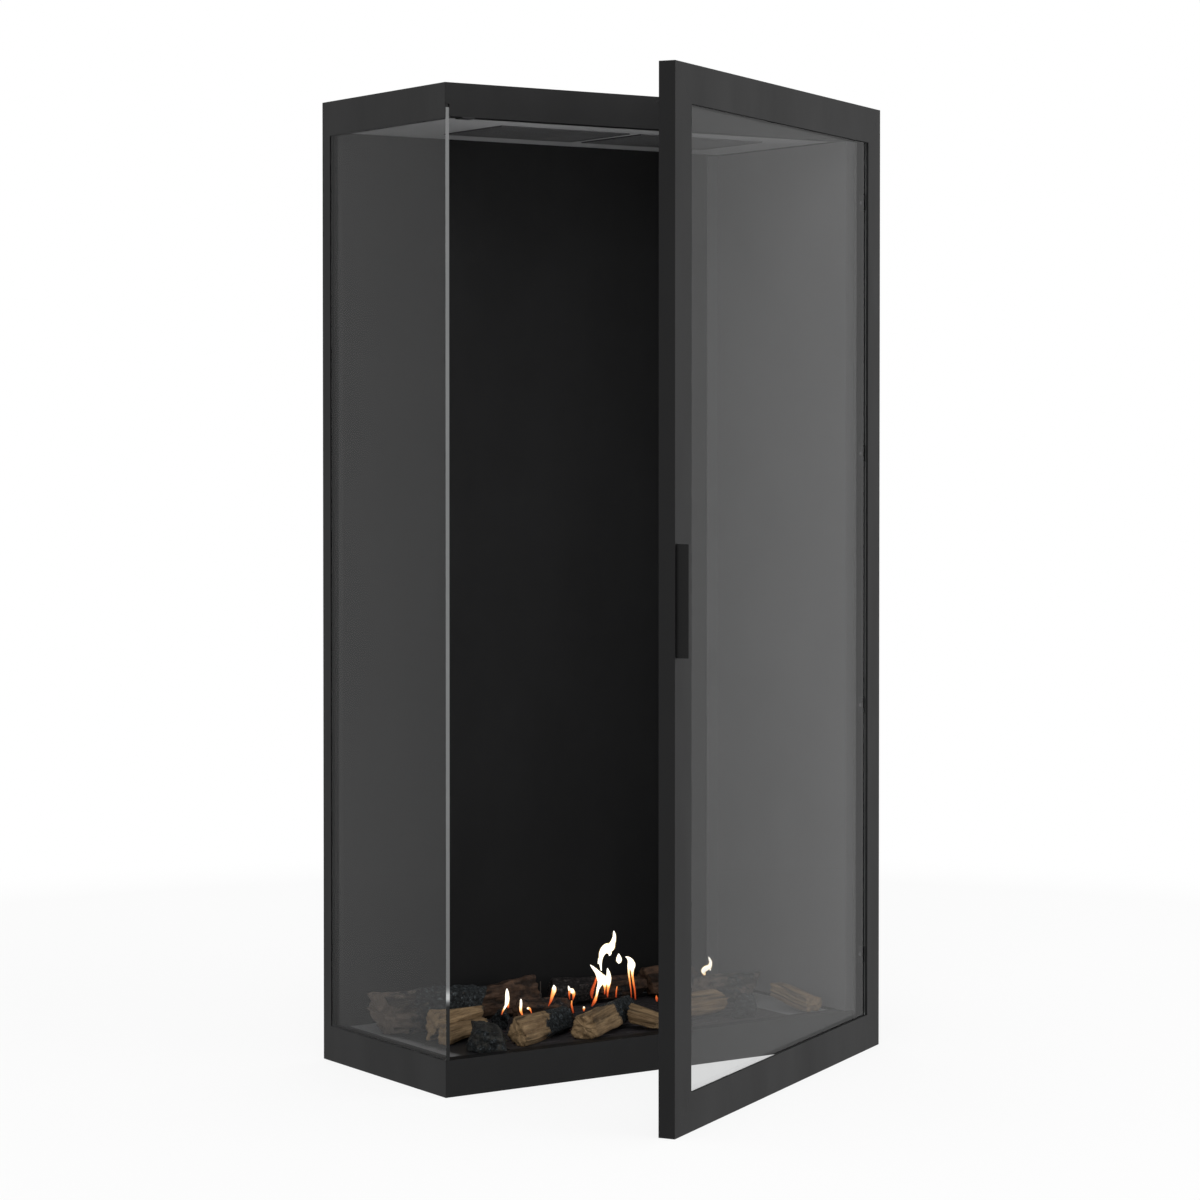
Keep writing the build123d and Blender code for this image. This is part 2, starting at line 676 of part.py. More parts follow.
def frame_bar(side, hollow_low, hollow_high):
    # One mitred bar of the door frame: a lip over the glass and a tube behind it.
    after = (side + 1) % 4
    for inner, across, thickness in ((sight_edges, lip_back, door_lip),
                                     (tube_edges, inner_face, door_thickness - door_lip)):
        with BuildSketch(upright(across)) as profile:
            with BuildLine():
                Polyline(door_edges[side], door_edges[after], inner[after], inner[side], close=True)
            make_face()
        extrude(profile.sketch, amount=thickness)
    brick((hollow_low[0], lip_back, hollow_low[1]),
          (hollow_high[0], inner_face - tube_wall, hollow_high[1]), mode=Mode.SUBTRACT)


beyond = rail_face
with BuildPart(door) as door_bottom_rail:
    frame_bar(0, (free_edge - beyond, tube_wall), (hinge_end + beyond, rail_tube - tube_wall))
door_bottom_rail.part.label = "door_bottom_rail"
export_step(door_bottom_rail.part, "parts/door_bottom_rail.step")

with BuildPart(door) as door_top_rail:
    frame_bar(2, (free_edge - beyond, height - rail_tube + tube_wall),
              (hinge_end + beyond, height - tube_wall))
door_top_rail.part.label = "door_top_rail"
export_step(door_top_rail.part, "parts/door_top_rail.step")


def lug_notches():
    # Room in the hinge stile and the pivot blocks for the lugs, over the whole swing.
    low_extra = (lug_clearance, thrust_clearance + bush_flange)
    for level, (below, above) in zip(lug_levels, (low_extra, low_extra[::-1])):
        brick((-notch_behind, lip_back, level - below),
              (hinge_end + notch_behind, inner_face + notch_behind, level + lug_thickness + above),
              mode=Mode.SUBTRACT)


# Hinge stile, notched for the lugs
with BuildPart(door) as door_hinge_stile:
    frame_bar(1, (hinge_tube + tube_wall, -beyond), (hinge_end - tube_wall, height + beyond))
    lug_notches()
door_hinge_stile.part.label = "door_hinge_stile"
export_step(door_hinge_stile.part, "parts/door_hinge_stile.step")

# Free stile, drilled for the handle's screws and for the driver behind them
handle_edge = free_edge + handle_inset
handle_middle = handle_edge + handle_thickness / 2
screw_heights = [height / 2 + side * handle_screw_spacing / 2 for side in (-1, 1)]
with BuildPart(door) as door_free_stile:
    frame_bar(3, (free_edge + tube_wall, -beyond), (free_tube - tube_wall, height + beyond))
    for level in screw_heights:
        with Locations(Location((handle_middle, outer_face, level), (-90, 0, 0))):
            Cylinder(handle_screw_radius + thread_clearance, door_lip, align=on_axis, mode=Mode.SUBTRACT)
        with Locations(Location((handle_middle, 0, level), (-90, 0, 0))):
            Cylinder(driver_hole_radius, door_thickness, align=on_axis, mode=Mode.SUBTRACT)
door_free_stile.part.label = "door_free_stile"
export_step(door_free_stile.part, "parts/door_free_stile.step")

# Door glass against the back of the lip, and the clips that hold it there
glass_face = lip_back + glass
with BuildPart(door) as door_glass:
    brick((free_tube + glass_margin, lip_back, rail_tube + glass_margin),
          (hinge_tube - glass_margin, glass_face, height - rail_tube - glass_margin))
door_glass.part.label = "door_glass"
export_step(door_glass.part, "parts/door_glass.step")

clip_half = clip_length / 2
with BuildPart(door) as glazing_clips:
    for level in [height * share for share in clip_levels]:
        for wall, towards in ((free_tube, 1), (hinge_tube, -1)):
            for reach, top in ((clip_lap, clip_sheet), (clip_sheet, clip_rise)):
                low_x, high_x = sorted((wall, wall + towards * reach))
                brick((low_x, glass_face, level - clip_half), (high_x, glass_face + top, level + clip_half))
    for place in [free_edge + door_width * share for share in clip_places]:
        for wall, towards in ((rail_tube, 1), (height - rail_tube, -1)):
            for reach, top in ((clip_lap, clip_sheet), (clip_sheet, clip_rise)):
                low_z, high_z = sorted((wall, wall + towards * reach))
                brick((place - clip_half, glass_face, low_z), (place + clip_half, glass_face + top, high_z))
glazing_clips.part.label = "glazing_clips"
export_step(glazing_clips.part, "parts/glazing_clips.step")

# Door gasket, round the inner face
gasket_thickness = door_gap - gasket_clearance
gasket_low = (free_edge + gasket_edge, gasket_inset)
gasket_high = (hinge_tube + gasket_width, height - gasket_inset)
with BuildPart(door) as door_gasket:
    brick((gasket_low[0], inner_face, gasket_low[1]),
          (gasket_high[0], inner_face + gasket_thickness, gasket_high[1]))
    brick((gasket_low[0] + gasket_width, inner_face, gasket_low[1] + gasket_width),
          (gasket_high[0] - gasket_width, inner_face + gasket_thickness, gasket_high[1] - gasket_width),
          mode=Mode.SUBTRACT)
door_gasket.part.label = "door_gasket"
export_step(door_gasket.part, "parts/door_gasket.step")

# Handle: a blade that stands out from the free stile, held by two screws from behind
with BuildPart(door) as door_handle:
    brick((handle_edge, outer_face - handle_reach, (height - handle_length) / 2),
          (handle_edge + handle_thickness, outer_face, (height + handle_length) / 2))
    for level in screw_heights:
        with Locations(Location((handle_middle, outer_face, level), (90, 0, 0))):
            Cylinder(handle_screw_radius + thread_clearance, handle_screw_depth, align=on_axis,
                     mode=Mode.SUBTRACT)
door_handle.part.label = "door_handle"
export_step(door_handle.part, "parts/door_handle.step")

with BuildPart(door) as handle_screws:
    for level in screw_heights:
        with Locations(Location((handle_middle, lip_back, level), (90, 0, 0))):
            Cylinder(handle_screw_radius, door_lip + handle_screw_depth - handle_screw_room, align=on_axis)
        with Locations(Location((handle_middle, lip_back, level), (-90, 0, 0))):
            Cylinder(handle_screw_head, handle_screw_head_height, align=on_axis)
handle_screws.part.label = "handle_screws"
export_step(handle_screws.part, "parts/handle_screws.step")

# Pivots: a pin in a block at each end of the hinge stile, turning in a bush in a lug
lug_middles = [level + lug_thickness / 2 for level in lug_levels]
with BuildPart(door) as door_pivot_blocks:
    for middle in lug_middles:
        brick((-block_behind, lip_back, middle - block_length / 2),
              (hinge_end - tube_wall, inner_face - tube_wall, middle + block_length / 2))
        with Locations((0, 0, middle)):
            Cylinder(pin_radius + thread_clearance, block_length, mode=Mode.SUBTRACT)
    lug_notches()
door_pivot_blocks.part.label = "door_pivot_blocks"
export_step(door_pivot_blocks.part, "parts/door_pivot_blocks.step")

with BuildPart(door) as door_pivot_pins:
    with Locations(*[(0, 0, middle) for middle in lug_middles]):
        Cylinder(pin_radius, pin_length)
door_pivot_pins.part.label = "door_pivot_pins"
export_step(door_pivot_pins.part, "parts/door_pivot_pins.step")

bush_bore = pin_radius + bush_clearance
bush_radius = bush_bore + bush_wall
with BuildPart() as hinge_bushes:
    for level, flange_level in zip(lug_levels, (lug_levels[0] + lug_thickness, lug_levels[1] - bush_flange)):
        with Locations((pivot_x, pivot_y, level)):
            Cylinder(bush_radius, lug_thickness, align=on_axis)
        with Locations((pivot_x, pivot_y, flange_level)):
            Cylinder(bush_flange_radius, bush_flange, align=on_axis)
    with Locations((pivot_x, pivot_y, 0)):
        Cylinder(bush_bore, height, align=on_axis, mode=Mode.SUBTRACT)
hinge_bushes.part.label = "hinge_bushes"
export_step(hinge_bushes.part, "parts/hinge_bushes.step")

with BuildPart() as hinge_brackets:
    for level, middle in zip(lug_levels, lug_middles):
        brick((pivot_x - lug_half_width, pivot_y, level),
              (pivot_x + lug_half_width, front + skin, level + lug_thickness))
        with Locations((pivot_x, pivot_y, level)):
            Cylinder(lug_half_width, lug_thickness, align=on_axis)
            Cylinder(bush_radius, lug_thickness, align=on_axis, mode=Mode.SUBTRACT)
        brick((pivot_x - bracket_width / 2, front + skin, middle - bracket_height / 2),
              (pivot_x + bracket_width / 2, front + skin + bracket_sheet, middle + bracket_height / 2))
        bracket_bolts(level, bolt_radius + thread_clearance, skin + bracket_sheet)
hinge_brackets.part.label = "hinge_brackets"
export_step(hinge_brackets.part, "parts/hinge_brackets.step")

with BuildPart() as hinge_bolts:
    for level in lug_levels:
        bracket_bolts(level, bolt_radius, bolt_length, mode=Mode.ADD)
hinge_bolts.part.label = "hinge_bolts"
export_step(hinge_bolts.part, "parts/hinge_bolts.step")

# Catch: a flat magnet under the top frame, and a steel strike on the door that slides below it
with BuildPart() as catch_magnet:
    brick((left + magnet_from_left, front, crown_bottom - magnet_thickness),
          (left + magnet_from_left + magnet_length, front + magnet_depth, crown_bottom))
catch_magnet.part.label = "catch_magnet"
export_step(catch_magnet.part, "parts/catch_magnet.step")

strike_top = crown_bottom - magnet_thickness - catch_gap
strike_low = free_edge + strike_from_free_edge
with BuildPart(door) as catch_strike:
    brick((strike_low, inner_face, strike_top - strike_sheet),
          (strike_low + strike_length, inner_face + strike_sheet, strike_top - strike_sheet + strike_rise))
    brick((strike_low, inner_face, strike_top - strike_sheet),
          (strike_low + strike_length, inner_face + strike_reach, strike_top))
catch_strike.part.label = "catch_strike"
export_step(catch_strike.part, "parts/catch_strike.step")
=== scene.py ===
import math
import random
import bmesh
import bpy
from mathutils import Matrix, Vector, noise


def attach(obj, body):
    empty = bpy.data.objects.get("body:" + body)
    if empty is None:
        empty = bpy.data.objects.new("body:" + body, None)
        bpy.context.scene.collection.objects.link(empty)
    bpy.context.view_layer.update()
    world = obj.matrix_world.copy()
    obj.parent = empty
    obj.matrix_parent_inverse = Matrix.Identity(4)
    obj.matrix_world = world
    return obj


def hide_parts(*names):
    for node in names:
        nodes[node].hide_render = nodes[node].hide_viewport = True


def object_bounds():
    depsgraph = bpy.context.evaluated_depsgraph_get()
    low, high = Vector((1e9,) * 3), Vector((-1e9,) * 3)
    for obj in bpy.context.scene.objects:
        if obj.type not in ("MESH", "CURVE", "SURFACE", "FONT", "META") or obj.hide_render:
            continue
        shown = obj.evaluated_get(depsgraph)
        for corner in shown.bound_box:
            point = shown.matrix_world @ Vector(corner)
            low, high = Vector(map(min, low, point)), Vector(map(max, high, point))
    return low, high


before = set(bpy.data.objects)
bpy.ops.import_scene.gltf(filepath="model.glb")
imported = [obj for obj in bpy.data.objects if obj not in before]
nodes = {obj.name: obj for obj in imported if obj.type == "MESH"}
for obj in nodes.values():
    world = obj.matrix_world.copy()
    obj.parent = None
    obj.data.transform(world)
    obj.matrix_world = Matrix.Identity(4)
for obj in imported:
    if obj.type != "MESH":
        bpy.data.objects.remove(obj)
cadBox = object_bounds()
print("frame loaded with", len(nodes), "CAD nodes")

# the cabinet's left front bottom corner; the log bed is measured from it
cabinetCorner = Vector((-0.320, -0.1475, 0))
cabinetHeight = 1.2
floorLevel = 0.040
deckLevel = 0.0415


def newMaterial(name):
    material = bpy.data.materials.new(name)
    material.use_nodes = True
    tree = material.node_tree
    tree.nodes.clear()
    output = tree.nodes.new("ShaderNodeOutputMaterial")
    shader = tree.nodes.new("ShaderNodeBsdfPrincipled")
    tree.links.new(shader.outputs[0], output.inputs["Surface"])
    return material, tree, shader


def addNode(tree, kind, inputs=None, **settings):
    node = tree.nodes.new("ShaderNode" + kind)
    for name, value in settings.items():
        setattr(node, name, value)
    for socket, value in (inputs or {}).items():
        if isinstance(value, bpy.types.NodeSocket):
            tree.links.new(value, node.inputs[socket])
        else:
            node.inputs[socket].default_value = value
    return node


def objectCoords(tree):
    return addNode(tree, "TexCoord").outputs["Object"]


def attributeOf(tree, name, output="Fac"):
    return addNode(tree, "Attribute", attribute_name=name).outputs[output]


def noiseAt(tree, coords, scale, detail=4, roughness=0.55):
    inputs = {"Vector": coords, "Scale": scale, "Detail": detail, "Roughness": roughness}
    return addNode(tree, "TexNoise", inputs).outputs[0]


def stretched(tree, coords, scale):
    return addNode(tree, "Mapping", {"Vector": coords, "Scale": scale}).outputs[0]


def ramp(tree, factor, stops):
    # stops are (place, colour or grey value)
    node = addNode(tree, "ValToRGB", {"Fac": factor})
    elements = node.color_ramp.elements
    while len(elements) < len(stops):
        elements.new(0.5)
    for element, (place, colour) in zip(elements, stops):
        if not hasattr(colour, "__len__"):
            colour = (colour,) * 3
        element.position = place
        element.color = (*colour, 1)
    return node.outputs["Color"]


def mixColour(tree, factor, first, second, blend="MIX"):
    node = tree.nodes.new("ShaderNodeMix")
    node.data_type = "RGBA"
    node.blend_type = blend
    for socket, value in ((0, factor), (6, first), (7, second)):
        if isinstance(value, bpy.types.NodeSocket):
            tree.links.new(value, node.inputs[socket])
        elif socket == 0:
            node.inputs[0].default_value = value
        else:
            node.inputs[socket].default_value = (*value, 1)
    return node.outputs[2]


def sums(tree, operation, first, second=0.0, third=0.0, clamp=False):
    inputs = {0: first, 1: second, 2: third}
    return addNode(tree, "Math", inputs, operation=operation, use_clamp=clamp).outputs[0]


def bumped(tree, shader, height, distance, strength=1.0, normal=None):
    inputs = {"Height": height, "Distance": distance, "Strength": strength}
    if normal is not None:
        inputs["Normal"] = normal
    bump = addNode(tree, "Bump", inputs)
    tree.links.new(bump.outputs[0], shader.inputs["Normal"])


def scaled(colour, factor):
    return tuple(min(1, c * factor) for c in colour)


def paintedSteel(name, colour, rough=0.5, grain=0.00004, grainScale=900, worn=0.25, specular=0.5):
    # fine textured coating: cloudy tone, grain, softened and slightly rubbed edges
    material, tree, shader = newMaterial(name)
    coords = objectCoords(tree)
    cloud = noiseAt(tree, coords, 5, 5)
    tone = ramp(tree, cloud, [(0.3, scaled(colour, 0.86)), (0.7, scaled(colour, 1.14))])
    soft = addNode(tree, "Bevel", {"Radius": 0.0009}, samples=4).outputs[0]
    plain = addNode(tree, "NewGeometry").outputs["Normal"]
    facing = addNode(tree, "VectorMath", {0: soft, 1: plain}, operation="DOT_PRODUCT").outputs["Value"]
    edge = ramp(tree, facing, [(0.80, 1.0), (0.985, 0.0)])
    patchy = ramp(tree, noiseAt(tree, coords, 60, 3), [(0.45, 0.0), (0.65, 1.0)])
    rubbed = sums(tree, "MULTIPLY", sums(tree, "MULTIPLY", edge, patchy), worn)
    tone = mixColour(tree, rubbed, tone, scaled(colour, 3.0))
    tree.links.new(tone, shader.inputs["Base Color"])
    smear = noiseAt(tree, stretched(tree, coords, (9, 9, 2.5)), 1, 6, 0.6)
    roughness = ramp(tree, smear, [(0.3, rough - 0.05), (0.7, rough + 0.07)])
    tree.links.new(roughness, shader.inputs["Roughness"])
    shader.inputs["Specular IOR Level"].default_value = specular
    grainHeight = noiseAt(tree, coords, grainScale, 2, 0.6)
    bumped(tree, shader, grainHeight, grain, 0.6, soft)
    return material


def withPaintedShadow(material, shadow):
    # a painted shadow: a dark, soft-edged patch on a painted sheet, between left and right and in front of back
    tree = material.node_tree
    shader = tree.nodes["Principled BSDF"]
    paint = shader.inputs["Base Color"].links[0].from_socket
    coords = objectCoords(tree)
    place = addNode(tree, "SeparateXYZ", {0: coords}).outputs
    ragged = sums(tree, "MULTIPLY_ADD", noiseAt(tree, coords, 60, 5, 0.6), 2 * shadow["ragged"], -shadow["ragged"])
    inside = 1.0
    for axis, limit, sign in ((0, shadow["left"], 1), (0, shadow["right"], -1), (1, shadow["back"], -1)):
        depth = sums(tree, "MULTIPLY_ADD", place[axis], sign, -sign * limit)
        depth = sums(tree, "DIVIDE", sums(tree, "ADD", depth, ragged), shadow["soft"], clamp=True)
        inside = sums(tree, "MULTIPLY", depth, inside)
    tree.links.new(mixColour(tree, inside, paint, shadow["colour"]), shader.inputs["Base Color"])
    return material


def bareMetal(name, colour, rough=0.32, stretch=(1, 1, 1), spangle=0):
    # drawn or turned metal, or zinc with its crystals
    material, tree, shader = newMaterial(name)
    coords = objectCoords(tree)
    lines = noiseAt(tree, stretched(tree, coords, stretch), 700, 3, 0.6)
    if spangle:
        cells = addNode(tree, "TexVoronoi", {"Vector": coords, "Scale": spangle}).outputs["Color"]
        grey = addNode(tree, "RGBToBW", {0: cells}).outputs[0]
        tone = ramp(tree, grey, [(0.2, scaled(colour, 0.82)), (0.8, scaled(colour, 1.1))])
    else:
        tone = ramp(tree, lines, [(0.3, scaled(colour, 0.88)), (0.7, scaled(colour, 1.08))])
    dull = noiseAt(tree, coords, 24, 4)
    tone = mixColour(tree, ramp(tree, dull, [(0.5, 0.0), (0.8, 0.35)]), tone, scaled(colour, 0.45))
    tree.links.new(tone, shader.inputs["Base Color"])
    roughness = ramp(tree, dull, [(0.3, rough - 0.06), (0.75, rough + 0.14)])
    tree.links.new(roughness, shader.inputs["Roughness"])
    shader.inputs["Metallic"].default_value = 1.0
    bumped(tree, shader, lines, 0.00004, 0.5)
    return material


def paneGlass(name, facing, tint, gloss, edge, paintedReflectionBelow):
    # clear pane with a faint film of dust; its cut edges are frosted, with a painted dark reflection of the logs low
    # down and a painted glint above it
    material, tree, shader = newMaterial(name)
    coords = objectCoords(tree)
    dust = noiseAt(tree, stretched(tree, coords, (14, 14, 5)), 1, 6, 0.6)
    through = ramp(tree, dust, [(0.35, tint), (0.75, scaled(tint, 0.985))])
    clear = addNode(tree, "BsdfTransparent", {"Color": through})
    mirror = addNode(tree, "BsdfGlossy", {"Color": (1, 1, 1, 1), "Roughness": 0.0})
    slant = addNode(tree, "LayerWeight", {"Blend": 0.5}).outputs["Facing"]
    share = sums(tree, "MULTIPLY_ADD", sums(tree, "POWER", slant, 5.0), gloss, 0.008)
    pane = addNode(tree, "MixShader", {0: share, 1: clear.outputs[0], 2: mirror.outputs[0]})
    ripple = noiseAt(tree, stretched(tree, coords, (30, 30, 3)), 1, 3)
    level = addNode(tree, "SeparateXYZ", {0: coords}).outputs[2]
    grey = ramp(tree, ripple, [(0.3, scaled(edge, 0.9)), (0.7, scaled(edge, 1.1))])
    # painted glint: a short bright stretch where the edge catches the fire, above the painted dark reflection of the
    # logs
    turning = paintedReflectionBelow / cabinetHeight
    catch = ramp(tree, sums(tree, "DIVIDE", level, cabinetHeight), [
        (turning, 0.1), (turning + 0.002, 3.0), (turning + 0.010, 3.0), (turning + 0.013, 1.0)])
    tree.links.new(mixColour(tree, 1.0, grey, catch, "MULTIPLY"), shader.inputs["Base Color"])
    shader.inputs["Roughness"].default_value = 0.5
    shader.inputs["Specular IOR Level"].default_value = 0.1
    own = addNode(tree, "TexCoord").outputs["Normal"]
    along = addNode(tree, "VectorMath", {0: own, 1: facing}, operation="DOT_PRODUCT").outputs["Value"]
    onFace = sums(tree, "GREATER_THAN", sums(tree, "ABSOLUTE", along), 0.5)
    mixed = addNode(tree, "MixShader", {0: onFace, 1: shader.outputs[0], 2: pane.outputs[0]})
    tree.links.new(mixed.outputs[0], tree.nodes["Material Output"].inputs["Surface"])
    return material


def fibreBoard(name, colour):
    material, tree, shader = newMaterial(name)
    coords = objectCoords(tree)
    wool = noiseAt(tree, stretched(tree, coords, (60, 60, 300)), 4, 6, 0.7)
    tone = ramp(tree, wool, [(0.3, scaled(colour, 0.7)), (0.7, scaled(colour, 1.1))])
    tree.links.new(tone, shader.inputs["Base Color"])
    shader.inputs["Roughness"].default_value = 0.95
    bumped(tree, shader, wool, 0.0008)
    return material


def dress(material, *names):
    for name in names:
        for materialSlot in nodes[name].material_slots:
            materialSlot.material = material


steelLook = {
    "frame": dict(colour=(0.0042, 0.0042, 0.0044), rough=0.56, worn=0.5, specular=0.22),
    "handle": dict(colour=(0.006, 0.006, 0.0061), rough=0.45, worn=0.5, specular=0.15),
    "backWall": dict(colour=(0.0098, 0.0098, 0.0101), rough=0.72, grain=0.00001, worn=0.1, specular=0.12),
    "sideWall": dict(colour=(0.100, 0.100, 0.102), rough=0.6, grain=0.00001, worn=0.1, specular=0.35),
    "ceiling": dict(colour=(0.30, 0.30, 0.305), rough=0.6, grain=0.00001, worn=0.1, specular=0.35),
    "floor": dict(colour=(0.20, 0.20, 0.204), rough=0.5, grain=0.00002, worn=0.1, specular=0.4),
    "grille": dict(colour=(0.05, 0.05, 0.051), rough=0.55, worn=0.3),
    "burner": dict(colour=(0.028, 0.025, 0.027), rough=0.55, worn=0.3, specular=0.3),
    "blackened": dict(colour=(0.010, 0.010, 0.011), rough=0.42, worn=0.5, specular=0.3),
}
# where the painted shadow on the floor lies, how soft its edge is and how far that wanders
floorShadow = dict(left=-0.285, right=0.215, back=0.06, soft=0.012, ragged=0.008, colour=(0.014, 0.014, 0.015))
dress(paintedSteel("framePaint", **steelLook["frame"]), "bottom_frame", "top_frame", "rear_left_post",
      "front_right_post", "right_outer_panel", "back_outer_panel", "door_bottom_rail", "door_top_rail",
      "door_hinge_stile", "door_free_stile")
dress(paintedSteel("handlePaint", **steelLook["handle"]), "door_handle")
dress(paintedSteel("backWallPaint", **steelLook["backWall"]), "back_liner")
dress(paintedSteel("sideWallPaint", **steelLook["sideWall"]), "right_liner")
dress(paintedSteel("ceilingPaint", **steelLook["ceiling"]), "ceiling_panel")
dress(paintedSteel("blackenedSteel", **steelLook["blackened"]), "glazing_clips", "catch_strike", "catch_magnet")
dress(withPaintedShadow(paintedSteel("floorPaint", **steelLook["floor"]), floorShadow), "floor_panel")
dress(paintedSteel("grillePaint", **steelLook["grille"]), "exhaust_grilles")
dress(paintedSteel("burnerPaint", **steelLook["burner"]), "burner_deck", "burner_box")
dress(bareMetal("zincSheet", (0.52, 0.53, 0.54), 0.38, spangle=90),
      "base_plate", "roof_panel", "flue_outer_collar", "flue_inner_collar", "exhaust_hood")
dress(bareMetal("turnedSteel", (0.5, 0.5, 0.51), 0.3, (1, 1, 0.02)),
      "venturi_tube", "air_shutter", "handle_screws", "door_pivot_blocks", "door_pivot_pins", "hinge_brackets",
      "hinge_bolts", "pilot_burner", "flame_sensor")
dress(bareMetal("brassTurned", (0.62, 0.44, 0.18), 0.3), "gas_injector", "gas_pipe", "gas_inlet_union",
      "hinge_bushes")
dress(bareMetal("castAlloy", (0.5, 0.5, 0.5), 0.5), "gas_valve")
dress(fibreBoard("mineralBoard", (0.62, 0.57, 0.46)), "insulation_boards")
dress(fibreBoard("blackRope", (0.035, 0.035, 0.036)), "door_gasket", "side_glass_seals")
dress(fibreBoard("probeCeramic", (0.10, 0.085, 0.075)), "spark_electrode")
paneLook = dict(edge=(0.19, 0.194, 0.194))
doorTurn = math.radians(30.1)
doorFacing = (-math.sin(doorTurn), math.cos(doorTurn), 0)
dress(paneGlass("sideGlass", (1, 0, 0), tint=(0.815, 0.818, 0.818), gloss=0.66, paintedReflectionBelow=0.112, **paneLook),
      "side_glass")
dress(paneGlass("doorGlass", doorFacing, tint=(0.853, 0.856, 0.856), gloss=0.56, paintedReflectionBelow=0.03, **paneLook),
      "door_glass")
print("CAD nodes dressed")


# start and end hold: from the left, from the front, lift, and the log's width and height there, in metres;
# char is how burnt the log is along its length, facets how many split faces it has, rugged how lumpy it is
logBed = {
    "logLeft": dict(
        node="log_left", start=(0.024, 0.2, 0, 0.058, 0.06), end=(0.15, 0.19, 0, 0.054, 0.058),
        wood="greyBark", char=((0, 0.25), (0.12, 0.3), (0.3, 0.55), (0.6, 0.85), (1, 1)), facets=7, rugged=0.7),
    "logBackLeft": dict(
        node="log_back_left", start=(0.168, 0.229, 0, 0.044, 0.044), end=(0.272, 0.226, 0, 0.052, 0.052),
        wood="redBark", char=((0, 0.1), (1, 0.1)), facets=7, rugged=1),
    "logForked": dict(
        node="log_forked", start=(0.062, 0.142, 0, 0.036, 0.04), end=(0.142, 0.142, 0.02, 0.02, 0.018),
        wood="tanSplit", char=((0, 0.05), (0.75, 0.1), (1, 0.5)), facets=5, rugged=0.35),
    "logFrontLeft": dict(
        node="log_front_left", start=(0.07, 0.029, 0, 0.05, 0.03), end=(0.114, 0.094, 0, 0.044, 0.032),
        wood="darkSplit", char=((0, 0.55), (0.3, 0.35), (1, 0.25)), facets=4, rugged=0.4),
    "logFrontMiddle": dict(
        node="log_front_middle", start=(0.126, 0.042, 0, 0.038, 0.035), end=(0.24, 0.098, 0, 0.028, 0.03),
        wood="tanSplit", char=((0, 0.05), (0.4, 0.2), (0.6, 0.75), (1, 0.95)), facets=5, rugged=0.3),
    "logMiddle": dict(
        node="log_middle", start=(0.202, 0.168, 0, 0.032, 0.038), end=(0.278, 0.152, 0, 0.03, 0.032),
        wood="redBark", char=((0, 0.3), (1, 0.5)), facets=6, rugged=0.5),
    "logBackCharred": dict(
        node="log_back_charred", start=(0.3, 0.238, 0, 0.04, 0.044), end=(0.444, 0.238, 0, 0.036, 0.036),
        wood="redBark", char=((0, 1), (0.35, 0.85), (0.5, 0.45), (1, 0.3)), facets=7, rugged=0.8),
    "logFrontRight": dict(
        node="log_front_right", start=(0.212, 0.026, 0, 0.04, 0.038), end=(0.332, 0.11, 0.004, 0.038, 0.034),
        wood="tanSplit", char=((0, 0.02), (0.45, 0.1), (0.62, 0.9), (1, 1)), facets=5, rugged=0.3),
    "logSplit": dict(
        node="log_split", start=(0.312, 0.07, 0.006, 0.03, 0.024), end=(0.334, 0.024, 0, 0.03, 0.02),
        wood="tanSplit", char=((0, 0.15), (1, 0.02)), facets=4, rugged=0.15),
    "logRight": dict(
        node="log_right", start=(0.396, 0.092, 0, 0.04, 0.034), end=(0.452, 0.084, 0, 0.038, 0.035),
        wood="tanSplit", char=((0, 0.05), (1, 0.02)), facets=4, rugged=0.15),
    "logMottled": dict(
        node="log_mottled", start=(0.482, 0.152, 0, 0.044, 0.044), end=(0.562, 0.138, 0, 0.042, 0.042),
        wood="greyBark", char=((0, 0.35), (0.5, 0.55), (1, 0.4)), facets=6, rugged=0.8),
    "logBackRight": dict(
        node="log_back_right", start=(0.45, 0.24, 0, 0.046, 0.046), end=(0.524, 0.234, 0, 0.046, 0.046),
        wood="redBark", char=((0, 0.2), (1, 0.45)), facets=6, rugged=0.9),
    "logSloping": dict(
        node="log_sloping", start=(0.548, 0.08, 0.017, 0.024, 0.022), end=(0.57, 0.02, 0, 0.028, 0.024),
        wood="tanSplit", char=((0, 0.05), (1, 0.02)), facets=4, rugged=0.15),
    "coalLeft": dict(
        node="charcoal_lumps", start=(0.164, 0.148, 0, 0.024, 0.028), end=(0.18, 0.154, 0, 0.022, 0.024),
        wood="darkSplit", char=((0, 1), (1, 1)), facets=5, rugged=0.9),
    "coalFront": dict(
        node="charcoal_lumps", start=(0.456, 0.046, 0, 0.03, 0.034), end=(0.488, 0.038, 0, 0.028, 0.028),
        wood="darkSplit", char=((0, 1), (1, 1)), facets=5, rugged=0.9),
    "coalRight": dict(
        node="charcoal_lumps", start=(0.584, 0.098, 0, 0.022, 0.024), end=(0.588, 0.074, 0, 0.018, 0.026),
        wood="greyBark", char=((0, 0.6), (1, 0.9)), facets=5, rugged=0.9),
    "logForkedArm": dict(
        node="log_forked", start=(0.058, 0.106, 0, 0.022, 0.026), end=(0.144, 0.137, 0.008, 0.02, 0.017),
        wood="tanSplit", char=((0, 0.02), (0.8, 0.1), (1, 0.5)), facets=4, rugged=0.3),
}
logsOnFloor = ("logForked", "logForkedArm", "logFrontLeft", "logSloping", "coalRight")
logDetail = dict(around=96, ringStep=0.0013, fewestRings=24, caps=8)
axisHeight = 0.44           # a log's axis above its underside, as a share of its height
